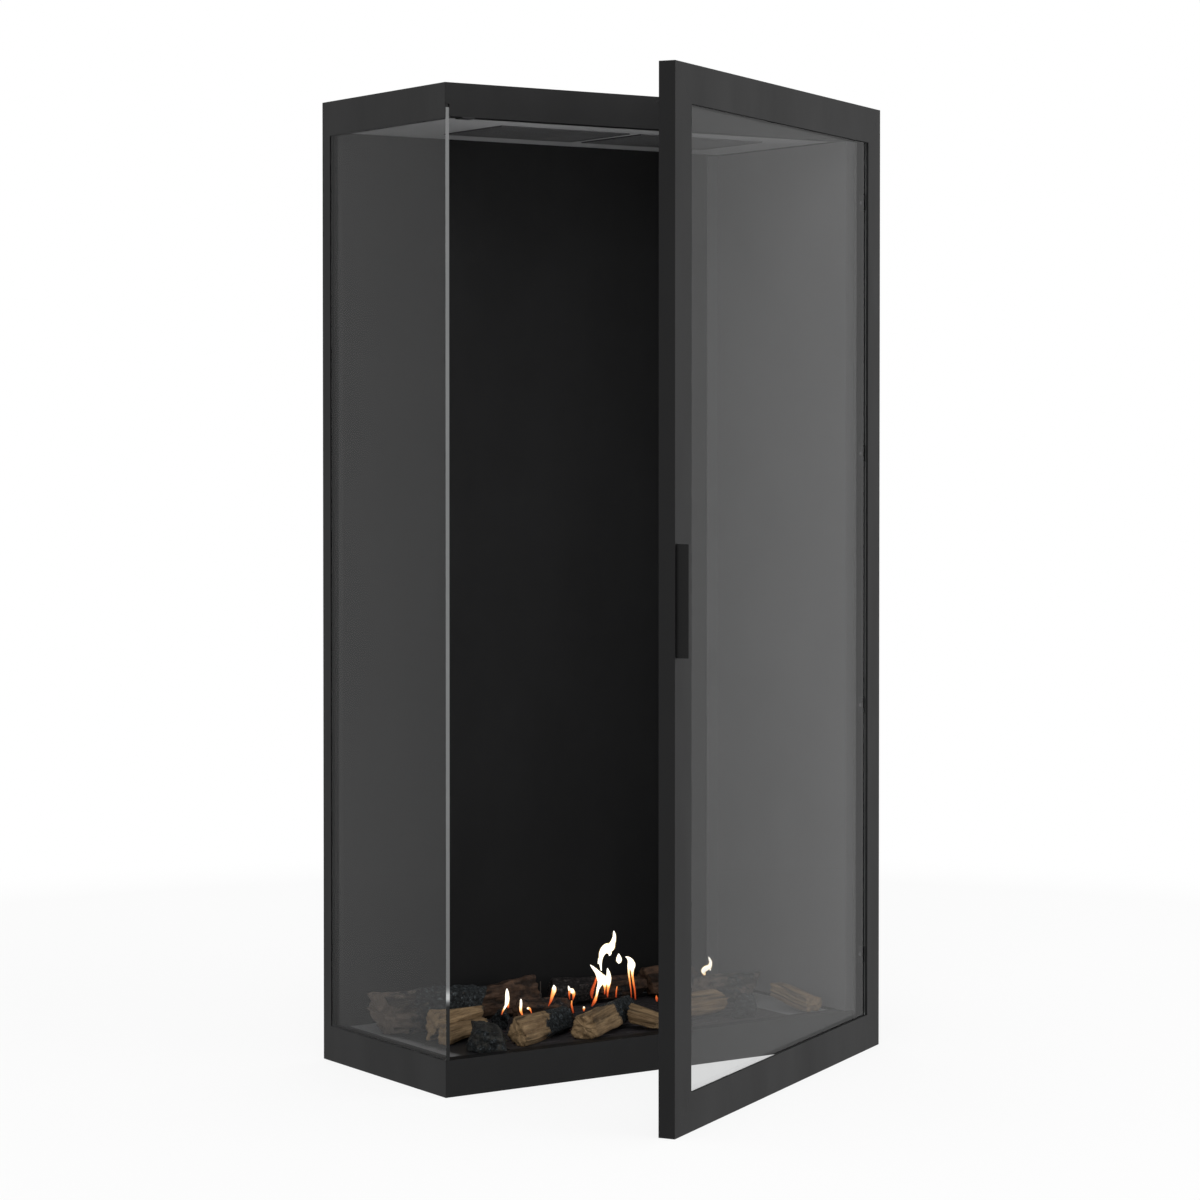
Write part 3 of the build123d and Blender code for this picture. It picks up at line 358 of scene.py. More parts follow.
woodLook = {
    "tanSplit": dict(dark=(0.135, 0.083, 0.042), pale=(0.31, 0.212, 0.115), fibres=0.75, lengthwise=14,
                     char=(0.0065, 0.0082, 0.0092)),
    "redBark": dict(dark=(0.026, 0.0145, 0.010), pale=(0.098, 0.056, 0.035), fibres=0.4, lengthwise=60,
                    char=(0.007, 0.006, 0.006)),
    "greyBark": dict(dark=(0.032, 0.027, 0.025), pale=(0.15, 0.115, 0.09), fibres=0.5, lengthwise=45,
                     char=(0.0085, 0.010, 0.0108)),
    "darkSplit": dict(dark=(0.009, 0.0095, 0.0092), pale=(0.040, 0.039, 0.035), fibres=0.8, lengthwise=20,
                      char=(0.0065, 0.0078, 0.0085)),
}


def closedMesh(name, points, faces, numbers, vectors=None):
    # one skin with its normals outward and its own per-point values
    mesh = bpy.data.meshes.new(name)
    mesh.from_pydata(points, [], faces)
    for label, values in numbers.items():
        mesh.attributes.new(label, "FLOAT", "POINT").data.foreach_set("value", values)
    for label, values in (vectors or {}).items():
        flat = [part for vector in values for part in vector]
        mesh.attributes.new(label, "FLOAT_VECTOR", "POINT").data.foreach_set("vector", flat)
    shell = bmesh.new()
    shell.from_mesh(mesh)
    bmesh.ops.recalc_face_normals(shell, faces=shell.faces)
    shell.to_mesh(mesh)
    shell.free()
    mesh.shade_smooth()
    return mesh


def along(stops, place):
    for (low, a), (high, b) in zip(stops, stops[1:]):
        if place <= high:
            return a + (b - a) * (place - low) / (high - low)
    return stops[-1][1]


def logMesh(name, log, seed):
    # rings of a split, barky outline along the axis, closed by broken ends
    rng = random.Random(seed)
    seat = floorLevel if name in logsOnFloor else deckLevel
    ends = []
    for fromLeft, fromFront, lift, width, height in (log["start"], log["end"]):
        ends.append(cabinetCorner + Vector((fromLeft, fromFront, seat + lift + axisHeight * height)))
    axis = ends[1] - ends[0]
    length = axis.length
    forward = axis.normalized()
    across = forward.cross(Vector((0, 0, 1))).normalized()
    upward = across.cross(forward)
    firstTurn = rng.uniform(0, 2 * math.pi)
    facets = [(firstTurn + 2 * math.pi * (k + rng.uniform(-0.28, 0.28)) / log["facets"], rng.uniform(0.68, 1.0))
              for k in range(log["facets"])]
    tilts = [(rng.uniform(-0.6, 0.6), rng.uniform(-0.5, 0.5)) for end in ends]
    twist = rng.uniform(-0.5, 0.5)
    around = logDetail["around"]
    rings = max(logDetail["fewestRings"], int(length / logDetail["ringStep"]))
    caps = logDetail["caps"]
    offset = Vector((seed * 3.1, seed * 1.7, seed * 0.9))
    points, relief, char, cut, grain = [], [], [], [], []

    def reachAt(angle, place):
        # the nearest split face limits the reach
        reach = 1.2
        for turn, distance in facets:
            cosine = math.cos(angle + twist * place - turn)
            if cosine > 0.1:
                reach = min(reach, distance / cosine)
        return reach

    for ring in range(-caps, rings + 1 + caps):
        inEnd = ring < 0 or ring > rings
        place = min(1, max(0, ring / rings))
        shrink = 1.0
        if inEnd:
            depth = (-ring if ring < 0 else ring - rings) / caps
            shrink = max(0.015, 1 - depth)
        burnt = along(log["char"], place)
        width = (log["start"][3] + (log["end"][3] - log["start"][3]) * place) / 2
        tall = (log["start"][4] + (log["end"][4] - log["start"][4]) * place) / 2
        taper = 1 - 0.03 * math.exp(-place * length / 0.002) - 0.03 * math.exp(-(1 - place) * length / 0.002)
        bend = 0.0035 * noise.noise(Vector((place * 2.2, seed * 5.3, 0.5)))
        for step in range(around):
            angle = 2 * math.pi * step / around
            unit = Vector((math.cos(angle), math.sin(angle), 0))
            run = place * length
            broad = noise.fractal(Vector((unit.x * 1.6, unit.y * 1.6, run * 22)) + offset, 0.9, 2.0, 3)
            ridge = noise.fractal(Vector((unit.x * 6, unit.y * 6, run * 16)) + offset, 0.9, 2.0, 3)
            fine = noise.fractal(Vector((unit.x * 16, unit.y * 16, run * 70)) + offset, 0.8, 2.1, 3)
            groove = max(0, noise.noise(Vector((unit.x * 4.5, unit.y * 4.5, run * 11)) + offset) - 0.22)
            crackle = abs(noise.noise(Vector((unit.x * 7, unit.y * 7, run * 130)) + offset))
            bump = (0.04 + 0.14 * log["rugged"]) * broad + 0.035 * ridge + 0.016 * fine - 0.16 * groove
            bump += burnt * 0.07 * (crackle - 0.25)
            reach = reachAt(angle, place) * taper * (1 + bump) * shrink
            side = Vector((unit.x * reach * width, unit.y * reach * tall))
            # a ragged, slanting break at each end
            torn = 0.004 * noise.noise(Vector((side.x * 150, side.y * 150, 7)) + offset)
            torn += 0.0015 * noise.noise(Vector((side.x * 600, side.y * 600, 3)) + offset)
            first = 0.004 + torn + tilts[0][0] * side.x + tilts[0][1] * side.y
            last = length - 0.004 + torn + tilts[1][0] * side.x + tilts[1][1] * side.y
            travel = first + (last - first) * place
            point = ends[0] + forward * travel + across * (side.x + bend) + upward * side.y
            point.z = max(point.z, seat + 0.0002)
            points.append(point)
            relief.append(bump)
            char.append(burnt)
            cut.append(1.0 if inEnd else 0.0)
            grain.append(Vector((travel, side.x, side.y)) + offset)
    rows = rings + 1 + 2 * caps
    faces = []
    for row in range(rows - 1):
        for step in range(around):
            after = (step + 1) % around
            faces.append([row * around + step, (row + 1) * around + step, (row + 1) * around + after,
                          row * around + after])
    faces.append(list(range(around)))
    faces.append([(rows - 1) * around + step for step in range(around)][::-1])
    return closedMesh(name, points, faces, dict(relief=relief, char=char, cut=cut), dict(grain=grain))


def logMaterial(name, look):
    material, tree, shader = newMaterial(name)
    coords = objectCoords(tree)
    grain = attributeOf(tree, "grain", "Vector")
    relief = attributeOf(tree, "relief")
    charred = attributeOf(tree, "char")
    cut = attributeOf(tree, "cut")
    # wood: long fibres, patches, and painted shade in the grooves
    run = look["lengthwise"]
    fibres = noiseAt(tree, stretched(tree, grain, (2 * run, 620, 620)), 1, 5, 0.65)
    broad = noiseAt(tree, stretched(tree, grain, (run, 120, 120)), 1, 4, 0.6)
    patch = noiseAt(tree, coords, 38, 5, 0.6)
    tone = mixColour(tree, ramp(tree, broad, [(0.35, 0.0), (0.62, 1.0)]), look["dark"], look["pale"])
    streak = ramp(tree, fibres, [(0.36, 0.4), (0.6, 1.12)])
    tone = mixColour(tree, 0.8 * look["fibres"], tone, streak, "MULTIPLY")
    tone = mixColour(tree, ramp(tree, patch, [(0.48, 0.0), (0.75, 0.5)]), tone, scaled(look["dark"], 0.6))
    # painted shade: the tone is darkened where the relief dips, in grooves and hollows
    groove = ramp(tree, sums(tree, "MULTIPLY_ADD", relief, 5.0, 0.5), [(0.1, 0.22), (0.5, 1.0)])
    tone = mixColour(tree, 1.0, tone, groove, "MULTIPLY")
    tone = mixColour(tree, sums(tree, "MULTIPLY", cut, 0.5), tone, scaled(look["pale"], 1.15))
    # char: black with blue-grey scales, partly ash and partly painted highlight
    cells = addNode(tree, "TexVoronoi", {"Vector": stretched(tree, grain, (120, 170, 170)), "Scale": 1.0},
                    feature="DISTANCE_TO_EDGE").outputs["Distance"]
    scales = noiseAt(tree, coords, 210, 5, 0.72)
    ashAndHighlight = ramp(tree, scales, [(0.40, look["char"]), (0.55, scaled(look["char"], 2.6)),
                              (0.70, scaled(look["char"], 13))])
    ashAndHighlight = mixColour(tree, 1.0, ashAndHighlight, ramp(tree, cells, [(0.0, 0.3), (0.14, 1.0)]), "MULTIPLY")
    ragged = noiseAt(tree, coords, 70, 6, 0.65)
    spread = sums(tree, "ADD", charred, sums(tree, "MULTIPLY_ADD", ragged, 1.7, -0.85))
    mask = ramp(tree, spread, [(0.42, 0.0), (0.58, 1.0)])
    tone = mixColour(tree, mask, tone, ashAndHighlight)
    tree.links.new(tone, shader.inputs["Base Color"])
    tree.links.new(ramp(tree, scales, [(0.4, 0.95), (0.7, 0.6)]), shader.inputs["Roughness"])
    shader.inputs["Specular IOR Level"].default_value = 0.3
    woodBump = sums(tree, "MULTIPLY_ADD", fibres, 0.6, broad)
    charBump = sums(tree, "ADD", sums(tree, "MULTIPLY", cells, 1.2, clamp=True), scales)
    bumped(tree, shader, mixColour(tree, mask, woodBump, charBump), 0.0011, 0.8)
    return material


woodMaterials = {kind: logMaterial(kind, look) for kind, look in woodLook.items()}
for seed, (name, log) in enumerate(logBed.items(), 1):
    piece = bpy.data.objects.new(name, logMesh(name, log, seed))
    bpy.context.scene.collection.objects.link(piece)
    piece.data.materials.append(woodMaterials[log["wood"]])
    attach(piece, "cabinet")
    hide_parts(log["node"])
print("log bed laid:", len(logBed), "pieces")


# shape is (to the right, up, half width) in millimetres from the base; white is how far up the flame turns white
flamePlaces = {
    "flameLeftTall": dict(
        base=(-0.1663, -0.0275, 0.0656), white=0.28,
        shape=((0, 0, 0.7), (2.1, 5.6, 1), (5.2, 11.1, 1.5), (7.1, 17.9, 2.6), (7.1, 25.4, 2.4),
               (6.8, 30.3, 1.4), (6.7, 32.8, 0.4))),
    "flameLeftFoot": dict(
        base=(-0.1571, -0.0285, 0.0729), white=0.7,
        shape=((0, 0, 0.7), (-0.2, 3.7, 1.4), (-0.7, 8.7, 1.6), (-1, 12.4, 0.5))),
    "flameLeftThin": dict(
        base=(-0.1450, -0.0475, 0.0596), white=0.6,
        shape=((0, 0, 0.6), (-2.7, 6.2, 1), (-4.9, 12.4, 1.7), (-4.6, 19.8, 1.6), (-4.6, 24.7, 1.2),
               (-4.7, 26.6, 0.4))),
    "flameLeftSpark": dict(
        base=(-0.1340, -0.0475, 0.0635), white=0.9,
        shape=((0, 0, 0.5), (-1.2, 5.6, 0.7), (-3.1, 9.3, 1.5), (-5, 9.9, 1.7), (-6.4, 9.2, 0.4))),
    "flameMiddleLeft": dict(
        base=(-0.0908, -0.0175, 0.0672), white=0.8,
        shape=((0, 0, 0.5), (3.1, 6.3, 1.5), (5, 12.5, 2.1), (7.3, 20, 3), (7.5, 23.8, 2.4), (7, 26.9, 0.5))),
    "flameMiddleStem": dict(
        base=(-0.0528, -0.0175, 0.0553), white=1.6,
        shape=((0, 0, 1.1), (-1.3, 5.7, 1.3), (-2.3, 10.7, 1.1), (-1.9, 15.7, 0.6))),
    "flameMiddleRight": dict(
        base=(-0.0539, -0.0175, 0.0711), white=0.6,
        shape=((0, 0, 0.6), (1, 4.4, 1.4), (1.3, 8.8, 2.1), (-1, 12.2, 3), (-3.8, 13.8, 2),
               (-5.4, 18.5, 0.5))),
    "flameMiddleLeg": dict(
        base=(-0.0577, -0.0165, 0.0726), white=1.4,
        shape=((0, 0, 0.5), (-0.5, 5, 1.1), (-0.3, 9.4, 1.5), (0.8, 12, 0.6))),
    "flameSpark": dict(
        base=(-0.0436, -0.0275, 0.0577), white=0.8,
        shape=((0, 0, 0.6), (0.1, 3.8, 1.6), (0.3, 6.3, 0.5))),
    "flameMainLeg": dict(
        base=(-0.0118, 0.0025, 0.0565), white=0.36,
        shape=((0, 0, 0.8), (3.8, 6.4, 2.2), (6.4, 14, 1.5), (8.3, 22.9, 1.9), (11.2, 30.5, 3.6),
               (11.1, 37.5, 5), (7, 43.9, 3.1), (2.5, 48.9, 1.9), (-1.5, 53, 0.5))),
    "flameMainMiddle": dict(
        base=(0.0078, 0.0015, 0.0700), white=0.45,
        shape=((0, 0, 0.8), (0.1, 7.6, 1.1), (-0.3, 15.3, 3.1), (-1.4, 22.3, 3.3), (-1.9, 25.5, 0.8))),
    "flameMainRight": dict(
        base=(0.0124, 0.0020, 0.0657), white=0.4,
        shape=((0, 0, 0.9), (0.4, 8.9, 1.5), (1.3, 16.6, 2.4), (1.7, 24.2, 3.1), (1.3, 30.6, 2.4),
               (0.4, 35.1, 1.3), (0, 37.6, 0.4))),
    "flameMainBridge": dict(
        base=(-0.0023, 0.0030, 0.0924), white=0.0,
        shape=((0, 0, 1.3), (4.5, -2.5, 4.2), (9.5, -3.3, 4.3), (13.4, -2.5, 3.1), (15.9, -1.3, 0.8))),
    "flameRedLeaf": dict(
        base=(-0.0097, 0.0045, 0.0662), white=2.6,
        shape=((0, 0, 0.9), (-0.3, 7.6, 2.3), (2.5, 16.5, 1.8), (5.5, 25.4, 1.3), (6.4, 29.3, 0.5))),
    "flameCurl": dict(
        base=(0.0032, 0.0025, 0.1009), white=0.0,
        shape=((0, 0, 0.6), (-0.9, 8.9, 1.7), (-0.5, 17.2, 2.8), (2.2, 24.2, 4.6), (6.6, 28.3, 6),
               (11.8, 30.2, 5.5), (14.9, 36.3, 3.3), (16.6, 42.7, 2.3), (16.4, 47.8, 1.5), (15.9, 51, 0.4))),
    "flameCurlLobe": dict(
        base=(0.0098, 0.0015, 0.1291), white=0.0,
        shape=((0, 0, 2.5), (3.3, -3.4, 3.7), (4.8, -6.8, 2.4), (4.3, -9.6, 0.5))),
    "flameCurlTip": dict(
        base=(0.0035, 0.0035, 0.1211), white=0.0,
        shape=((0, 0, 1.5), (-2, -7, 1.9), (-3.6, -11.8, 0.6))),
    "flameDrop": dict(
        base=(0.0304, 0.0025, 0.1073), white=0.0,
        shape=((0, 0, 0.5), (0.1, 2.6, 3.1), (0.1, 6, 3.6), (-0.1, 9.6, 2.4), (-0.3, 12.8, 0.5))),
    "flameRightRed": dict(
        base=(0.0575, 0.0135, 0.0584), white=0.75,
        shape=((0, 0, 0.6), (-0.6, 10.3, 0.8), (-1.9, 20.6, 1), (-3, 29.6, 1.3), (-3.5, 38.6, 1.5),
               (-2.7, 45.7, 2.1), (-1.4, 49.5, 0.9))),
    "flameRight": dict(
        base=(0.0631, 0.0125, 0.0567), white=0.55,
        shape=((0, 0, 1), (-0.9, 11.6, 1.2), (-2.6, 21.9, 1.3), (-3.9, 30.9, 1.5), (-4.2, 38, 2.3),
               (-4.8, 45, 4.4), (-6.7, 50.2, 3.6), (-9.6, 53.7, 1.9), (-12.9, 55.3, 0.4))),
    "flameRightCheek": dict(
        base=(0.0565, 0.0120, 0.1069), white=0.0,
        shape=((0, 0, 1.9), (2.4, -3.2, 2.4), (3.2, -7.1, 1.5), (1.9, -9.6, 0.5))),
    "flameThin": dict(
        base=(0.0259, 0.0025, 0.0643), white=2.0,
        shape=((0, 0, 0.9), (0.3, 6.4, 1), (1.3, 14.1, 0.5))),
    "flameFarRight": dict(
        base=(0.0969, 0.0125, 0.0508), white=2.4,
        shape=((0, 0, 1), (-0.4, 3.9, 1.8), (-0.9, 7.8, 0.5))),
    "flameBack": dict(
        base=(0.2047, 0.0525, 0.0490), white=0.45,
        shape=((0, 0, 0.7), (-0.3, 7.9, 0.9), (-0.9, 15.9, 1.1), (-2.2, 21.1, 1.7), (-3.6, 26, 3.4),
               (-0.1, 29.6, 3.6), (4, 31.7, 3), (5.7, 37, 2.1), (4.4, 41.6, 1.5), (2.9, 44.9, 0.4))),
    "flameBackCheek": dict(
        base=(0.2084, 0.0515, 0.0818), white=0.0,
        shape=((0, 0, 1.7), (1.1, -3.7, 1.6), (1.6, -6.6, 0.5))),
    "flameBackSmall": dict(
        base=(0.2178, 0.0525, 0.0478), white=1.0,
        shape=((0, 0, 0.5), (-0.3, 4, 0.9), (-0.3, 6.6, 0.3))),
}
flameTurn = math.radians(34.0)          # the blades stand square to this view
# steps between two points of a shape, sides of the outline, least half width in mm, depth as a share of width
flameDetail = dict(steps=7, around=14, thinnest=0.12, depth=0.5)


def flameMesh(name, flame):
    # a flat, leaf-like blade along a curved spine
    right = Vector((math.cos(flameTurn), -math.sin(flameTurn), 0))
    deep = Vector((math.sin(flameTurn), math.cos(flameTurn), 0))
    base = Vector(flame["base"])
    shape = flame["shape"]
    spine = []
    steps = flameDetail["steps"]
    for k in range(len(shape) - 1):
        before, here = shape[max(0, k - 1)], shape[k]
        there, after = shape[k + 1], shape[min(len(shape) - 1, k + 2)]
        for step in range(steps):
            t = step / steps
            spine.append(tuple(
                0.5 * (2 * b + (c - a) * t + (2 * a - 5 * b + 4 * c - d) * t * t + (3 * b - a - 3 * c + d) * t ** 3)
                for a, b, c, d in zip(before, here, there, after)))
    spine.append(shape[-1])
    around = flameDetail["around"]
    points, edge, heat = [], [], []
    for k, (x, z, half) in enumerate(spine):
        low, high = spine[max(0, k - 1)], spine[min(len(spine) - 1, k + 1)]
        run = Vector((high[0] - low[0], high[1] - low[1])).normalized()
        across = right * run.y - Vector((0, 0, 1)) * run.x
        half = max(half, flameDetail["thinnest"]) / 1000
        middle = base + right * x / 1000 + Vector((0, 0, z / 1000))
        rise = k / (len(spine) - 1)
        for step in range(around):
            angle = 2 * math.pi * step / around
            side = across * math.cos(angle) * half
            points.append(middle + side + deep * math.sin(angle) * half * flameDetail["depth"])
            edge.append(abs(math.cos(angle)))
            heat.append(1.0 if flame["white"] == 0 else min(1, rise / flame["white"]))
    faces = []
    for row in range(len(spine) - 1):
        for step in range(around):
            after = (step + 1) % around
            faces.append([row * around + step, row * around + after, (row + 1) * around + after,
                          (row + 1) * around + step])
    faces.append(list(range(around))[::-1])
    faces.append([(len(spine) - 1) * around + step for step in range(around)])
    return closedMesh(name, points, faces, dict(rim=edge, glow=heat))


def flameMaterial():
    # red at the foot, orange and yellow towards the edges, white within
    material, tree, shader = newMaterial("flame")
    edge = attributeOf(tree, "rim")
    heat = attributeOf(tree, "glow")
    flicker = noiseAt(tree, stretched(tree, objectCoords(tree), (1, 1, 0.4)), 220, 3)
    outer = sums(tree, "MULTIPLY", sums(tree, "POWER", edge, 5.0), -0.26)
    warmth = sums(tree, "ADD", heat, sums(tree, "ADD", outer, sums(tree, "MULTIPLY_ADD", flicker, 0.3, -0.15)))
    colour = ramp(tree, warmth, [(0.0, (0.32, 0.035, 0.012)), (0.3, (0.75, 0.14, 0.035)), (0.6, (1.0, 0.42, 0.10)),
                                 (0.78, (1.0, 0.82, 0.45)), (0.92, (1.0, 0.97, 0.9))])
    tree.links.new(colour, shader.inputs["Emission Color"])
    tree.links.new(colour, shader.inputs["Base Color"])
    tree.links.new(ramp(tree, warmth, [(0.2, 0.5), (0.9, 0.95)]), shader.inputs["Emission Strength"])
    thin = ramp(tree, edge, [(0.80, 1.0), (0.995, 0.35)])
    body = ramp(tree, heat, [(0.0, 0.55), (0.5, 1.0)])
    tree.links.new(mixColour(tree, 1.0, thin, body, "MULTIPLY"), shader.inputs["Alpha"])
    shader.inputs["Roughness"].default_value = 1.0
    shader.inputs["Specular IOR Level"].default_value = 0.0
    return material


flamePaint = flameMaterial()
for name, flame in flamePlaces.items():
    piece = bpy.data.objects.new(name, flameMesh(name, flame))
    bpy.context.scene.collection.objects.link(piece)
    piece.data.materials.append(flamePaint)
    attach(piece, "cabinet")
print("flames lit:", len(flamePlaces))


# what repeats or follows a path is grown by these groups
def growGroup(name, inputs):
    tree = bpy.data.node_groups.new(name, "GeometryNodeTree")
    for label, kind, value in inputs:
        socket = tree.interface.new_socket(label, in_out="INPUT", socket_type="NodeSocket" + kind)
        if value is not None:
            socket.default_value = value
    tree.interface.new_socket("Geometry", in_out="OUTPUT", socket_type="NodeSocketGeometry")
    return tree, tree.nodes.new("NodeGroupInput"), tree.nodes.new("NodeGroupOutput")


def growNode(tree, kind, inputs=None, **settings):
    node = tree.nodes.new(kind)
    for name, value in settings.items():
        setattr(node, name, value)
    for socket, value in (inputs or {}).items():
        if isinstance(value, bpy.types.NodeSocket):
            tree.links.new(value, node.inputs[socket])
        else:
            node.inputs[socket].default_value = value
    return node


def finishGroup(tree, output, geometry, material):
    whole = growNode(tree, "GeometryNodeRealizeInstances", {0: geometry}).outputs[0]
    painted = growNode(tree, "GeometryNodeSetMaterial", {"Geometry": whole, "Material": material}).outputs[0]
    tree.links.new(painted, output.inputs[0])


def ropeGroup():
    # twisted strands laid along a closed path with rounded corners
    tree, given, output = growGroup("ropeAlongPath", [
        ("Geometry", "Geometry", None), ("Strands", "Int", 5), ("Radius", "Float", 0.003), ("Turns", "Int", 100),
        ("Corner Radius", "Float", 0.006), ("Step", "Float", 0.002), ("Material", "Material", None)])
    path = growNode(tree, "GeometryNodeMeshToCurve", {0: given.outputs["Geometry"]}).outputs[0]
    rounded = growNode(tree, "GeometryNodeFilletCurve", {"Curve": path, "Radius": given.outputs["Corner Radius"]})
    even = growNode(tree, "GeometryNodeResampleCurve", {"Curve": rounded.outputs[0], "Length": given.outputs["Step"]},
                    mode="LENGTH").outputs[0]
    share = growNode(tree, "GeometryNodeSplineParameter").outputs["Factor"]
    angle = growNode(tree, "ShaderNodeMath", {0: given.outputs["Turns"], 1: 2 * math.pi}, operation="MULTIPLY")
    twist = growNode(tree, "ShaderNodeMath", {0: share, 1: angle.outputs[0]}, operation="MULTIPLY")
    laid = growNode(tree, "GeometryNodeSetCurveTilt", {"Curve": even, "Tilt": twist.outputs[0]}).outputs[0]
    hollow = growNode(tree, "ShaderNodeMath", {0: given.outputs["Radius"], 1: 0.72}, operation="MULTIPLY")
    star = growNode(tree, "GeometryNodeCurveStar", {
        "Points": given.outputs["Strands"], "Inner Radius": hollow.outputs[0],
        "Outer Radius": given.outputs["Radius"]}).outputs[0]
    smooth = growNode(tree, "GeometryNodeSubdivideCurve", {"Curve": star, "Cuts": 1}).outputs[0]
    skin = growNode(tree, "GeometryNodeCurveToMesh", {"Curve": laid, "Profile Curve": smooth}).outputs[0]
    finishGroup(tree, output, skin, given.outputs["Material"])
    return tree


def screwGroup():
    # a domed head with a cross recess on each point, turned as the point says
    tree, given, output = growGroup("screwsOnPoints", [
        ("Geometry", "Geometry", None), ("Head Radius", "Float", 0.003), ("Head Height", "Float", 0.0014),
        ("Recess", "Float", 0.0008), ("Seed", "Int", 3), ("Material", "Material", None)])
    rim = growNode(tree, "ShaderNodeMath", {0: given.outputs["Head Radius"], 1: 0.62}, operation="MULTIPLY")
    head = growNode(tree, "GeometryNodeMeshCone", {
        "Vertices": 28, "Side Segments": 3, "Fill Segments": 2, "Radius Top": rim.outputs[0],
        "Radius Bottom": given.outputs["Head Radius"], "Depth": given.outputs["Head Height"]}).outputs[0]
    long = growNode(tree, "ShaderNodeMath", {0: given.outputs["Head Radius"], 1: 1.05}, operation="MULTIPLY")
    cutters = []
    for first, second in ((long.outputs[0], given.outputs["Recess"]), (given.outputs["Recess"], long.outputs[0])):
        size = growNode(tree, "ShaderNodeCombineXYZ", {0: first, 1: second, 2: given.outputs["Head Height"]})
        bar = growNode(tree, "GeometryNodeMeshCube", {"Size": size.outputs[0]}).outputs[0]
        lift = growNode(tree, "ShaderNodeCombineXYZ", {2: given.outputs["Head Height"]})
        cutters.append(growNode(tree, "GeometryNodeTransform", {"Geometry": bar, "Translation": lift.outputs[0]}))
    dug = head
    for cutter in cutters:
        boolean = growNode(tree, "GeometryNodeMeshBoolean", {"Mesh 1": dug}, operation="DIFFERENCE")
        tree.links.new(cutter.outputs[0], boolean.inputs["Mesh 2"])
        dug = boolean.outputs[0]
    turn = growNode(tree, "GeometryNodeInputNamedAttribute", {"Name": "turn"}, data_type="FLOAT_VECTOR").outputs[0]
    spin = growNode(tree, "FunctionNodeRandomValue", {"Seed": given.outputs["Seed"]}, data_type="FLOAT")
    spin.inputs[3].default_value = 2 * math.pi
    about = growNode(tree, "ShaderNodeCombineXYZ", {2: spin.outputs[1]})
    placed = growNode(tree, "GeometryNodeInstanceOnPoints", {
        "Points": given.outputs["Geometry"], "Instance": dug, "Rotation": turn}).outputs[0]
    turned = growNode(tree, "GeometryNodeRotateInstances", {
        "Instances": placed, "Rotation": about.outputs[0], "Local Space": True}).outputs[0]
    finishGroup(tree, output, turned, given.outputs["Material"])
    return tree


def growPiece(name, group, mesh, settings, body):
    source = bpy.data.objects.new(name, mesh)
    bpy.context.scene.collection.objects.link(source)
    modifier = source.modifiers.new("grow", "NODES")
    modifier.node_group = group
    for item in group.interface.items_tree:
        if item.in_out == "INPUT" and item.name in settings:
            modifier[item.identifier] = settings[item.name]
    bpy.context.view_layer.update()
    grown = bpy.data.meshes.new_from_object(source.evaluated_get(bpy.context.evaluated_depsgraph_get()))
    source.modifiers.remove(modifier)
    grown.name = name
    source.data = grown
    shell = bmesh.new()
    shell.from_mesh(grown)
    bmesh.ops.remove_doubles(shell, verts=shell.verts, dist=0.000002)
    bmesh.ops.recalc_face_normals(shell, faces=shell.faces)
    shell.to_mesh(grown)
    shell.free()
    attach(source, body)
    return source


doorPivot = Vector((0.3055, -0.1642, 0))
doorAlong = Vector((math.cos(doorTurn), math.sin(doorTurn), 0))
doorDeep = Vector((-math.sin(doorTurn), math.cos(doorTurn), 0))


def onDoor(x, y, z):
    return doorPivot + doorAlong * x + doorDeep * y + Vector((0, 0, z))


doorRope = dict(left=-0.604, right=-0.015, low=0.012, high=1.188, across=0.0131, strands=5, radius=0.003,
                pitch=0.011, corner=0.007, step=0.002)


def makeDoorRope():
    sides = ((doorRope["left"], doorRope["low"]), (doorRope["right"], doorRope["low"]),
             (doorRope["right"], doorRope["high"]), (doorRope["left"], doorRope["high"]))
    mesh = bpy.data.meshes.new("ropePath")
    mesh.from_pydata([onDoor(x, doorRope["across"], z) for x, z in sides], [(0, 1), (1, 2), (2, 3), (3, 0)], [])
    run = 2 * (doorRope["right"] - doorRope["left"] + doorRope["high"] - doorRope["low"])
    rope = growPiece("doorRope", ropeGroup(), mesh, {
        "Strands": doorRope["strands"], "Radius": doorRope["radius"], "Turns": round(run / doorRope["pitch"]),
        "Corner Radius": doorRope["corner"], "Step": doorRope["step"], "Material": ropePaint}, "door")
    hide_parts("door_gasket")


roofScrews = dict(middle=(0.0085, 0.001), ring=0.0812, count=8, level=1.198, radius=0.0033, height=0.0014,
                  recess=0.0008)
clipScrews = dict(levels=(0.12, 0.4392, 0.7608, 1.08), left=-0.5865, right=-0.0205, across=0.0035,
                  places=(-0.46325, -0.14775), low=0.034, high=1.166,
                  radius=0.0024, height=0.0012, recess=0.0006)


def screwPoints(name, places):
    # each place is where the head sits and which way it looks
    mesh = bpy.data.meshes.new(name)
    mesh.from_pydata([point for point, outward in places], [], [])
    turns = [part for point, outward in places for part in outward.to_track_quat("Z", "Y").to_euler()]
    mesh.attributes.new("turn", "FLOAT_VECTOR", "POINT").data.foreach_set("vector", turns)
    return mesh


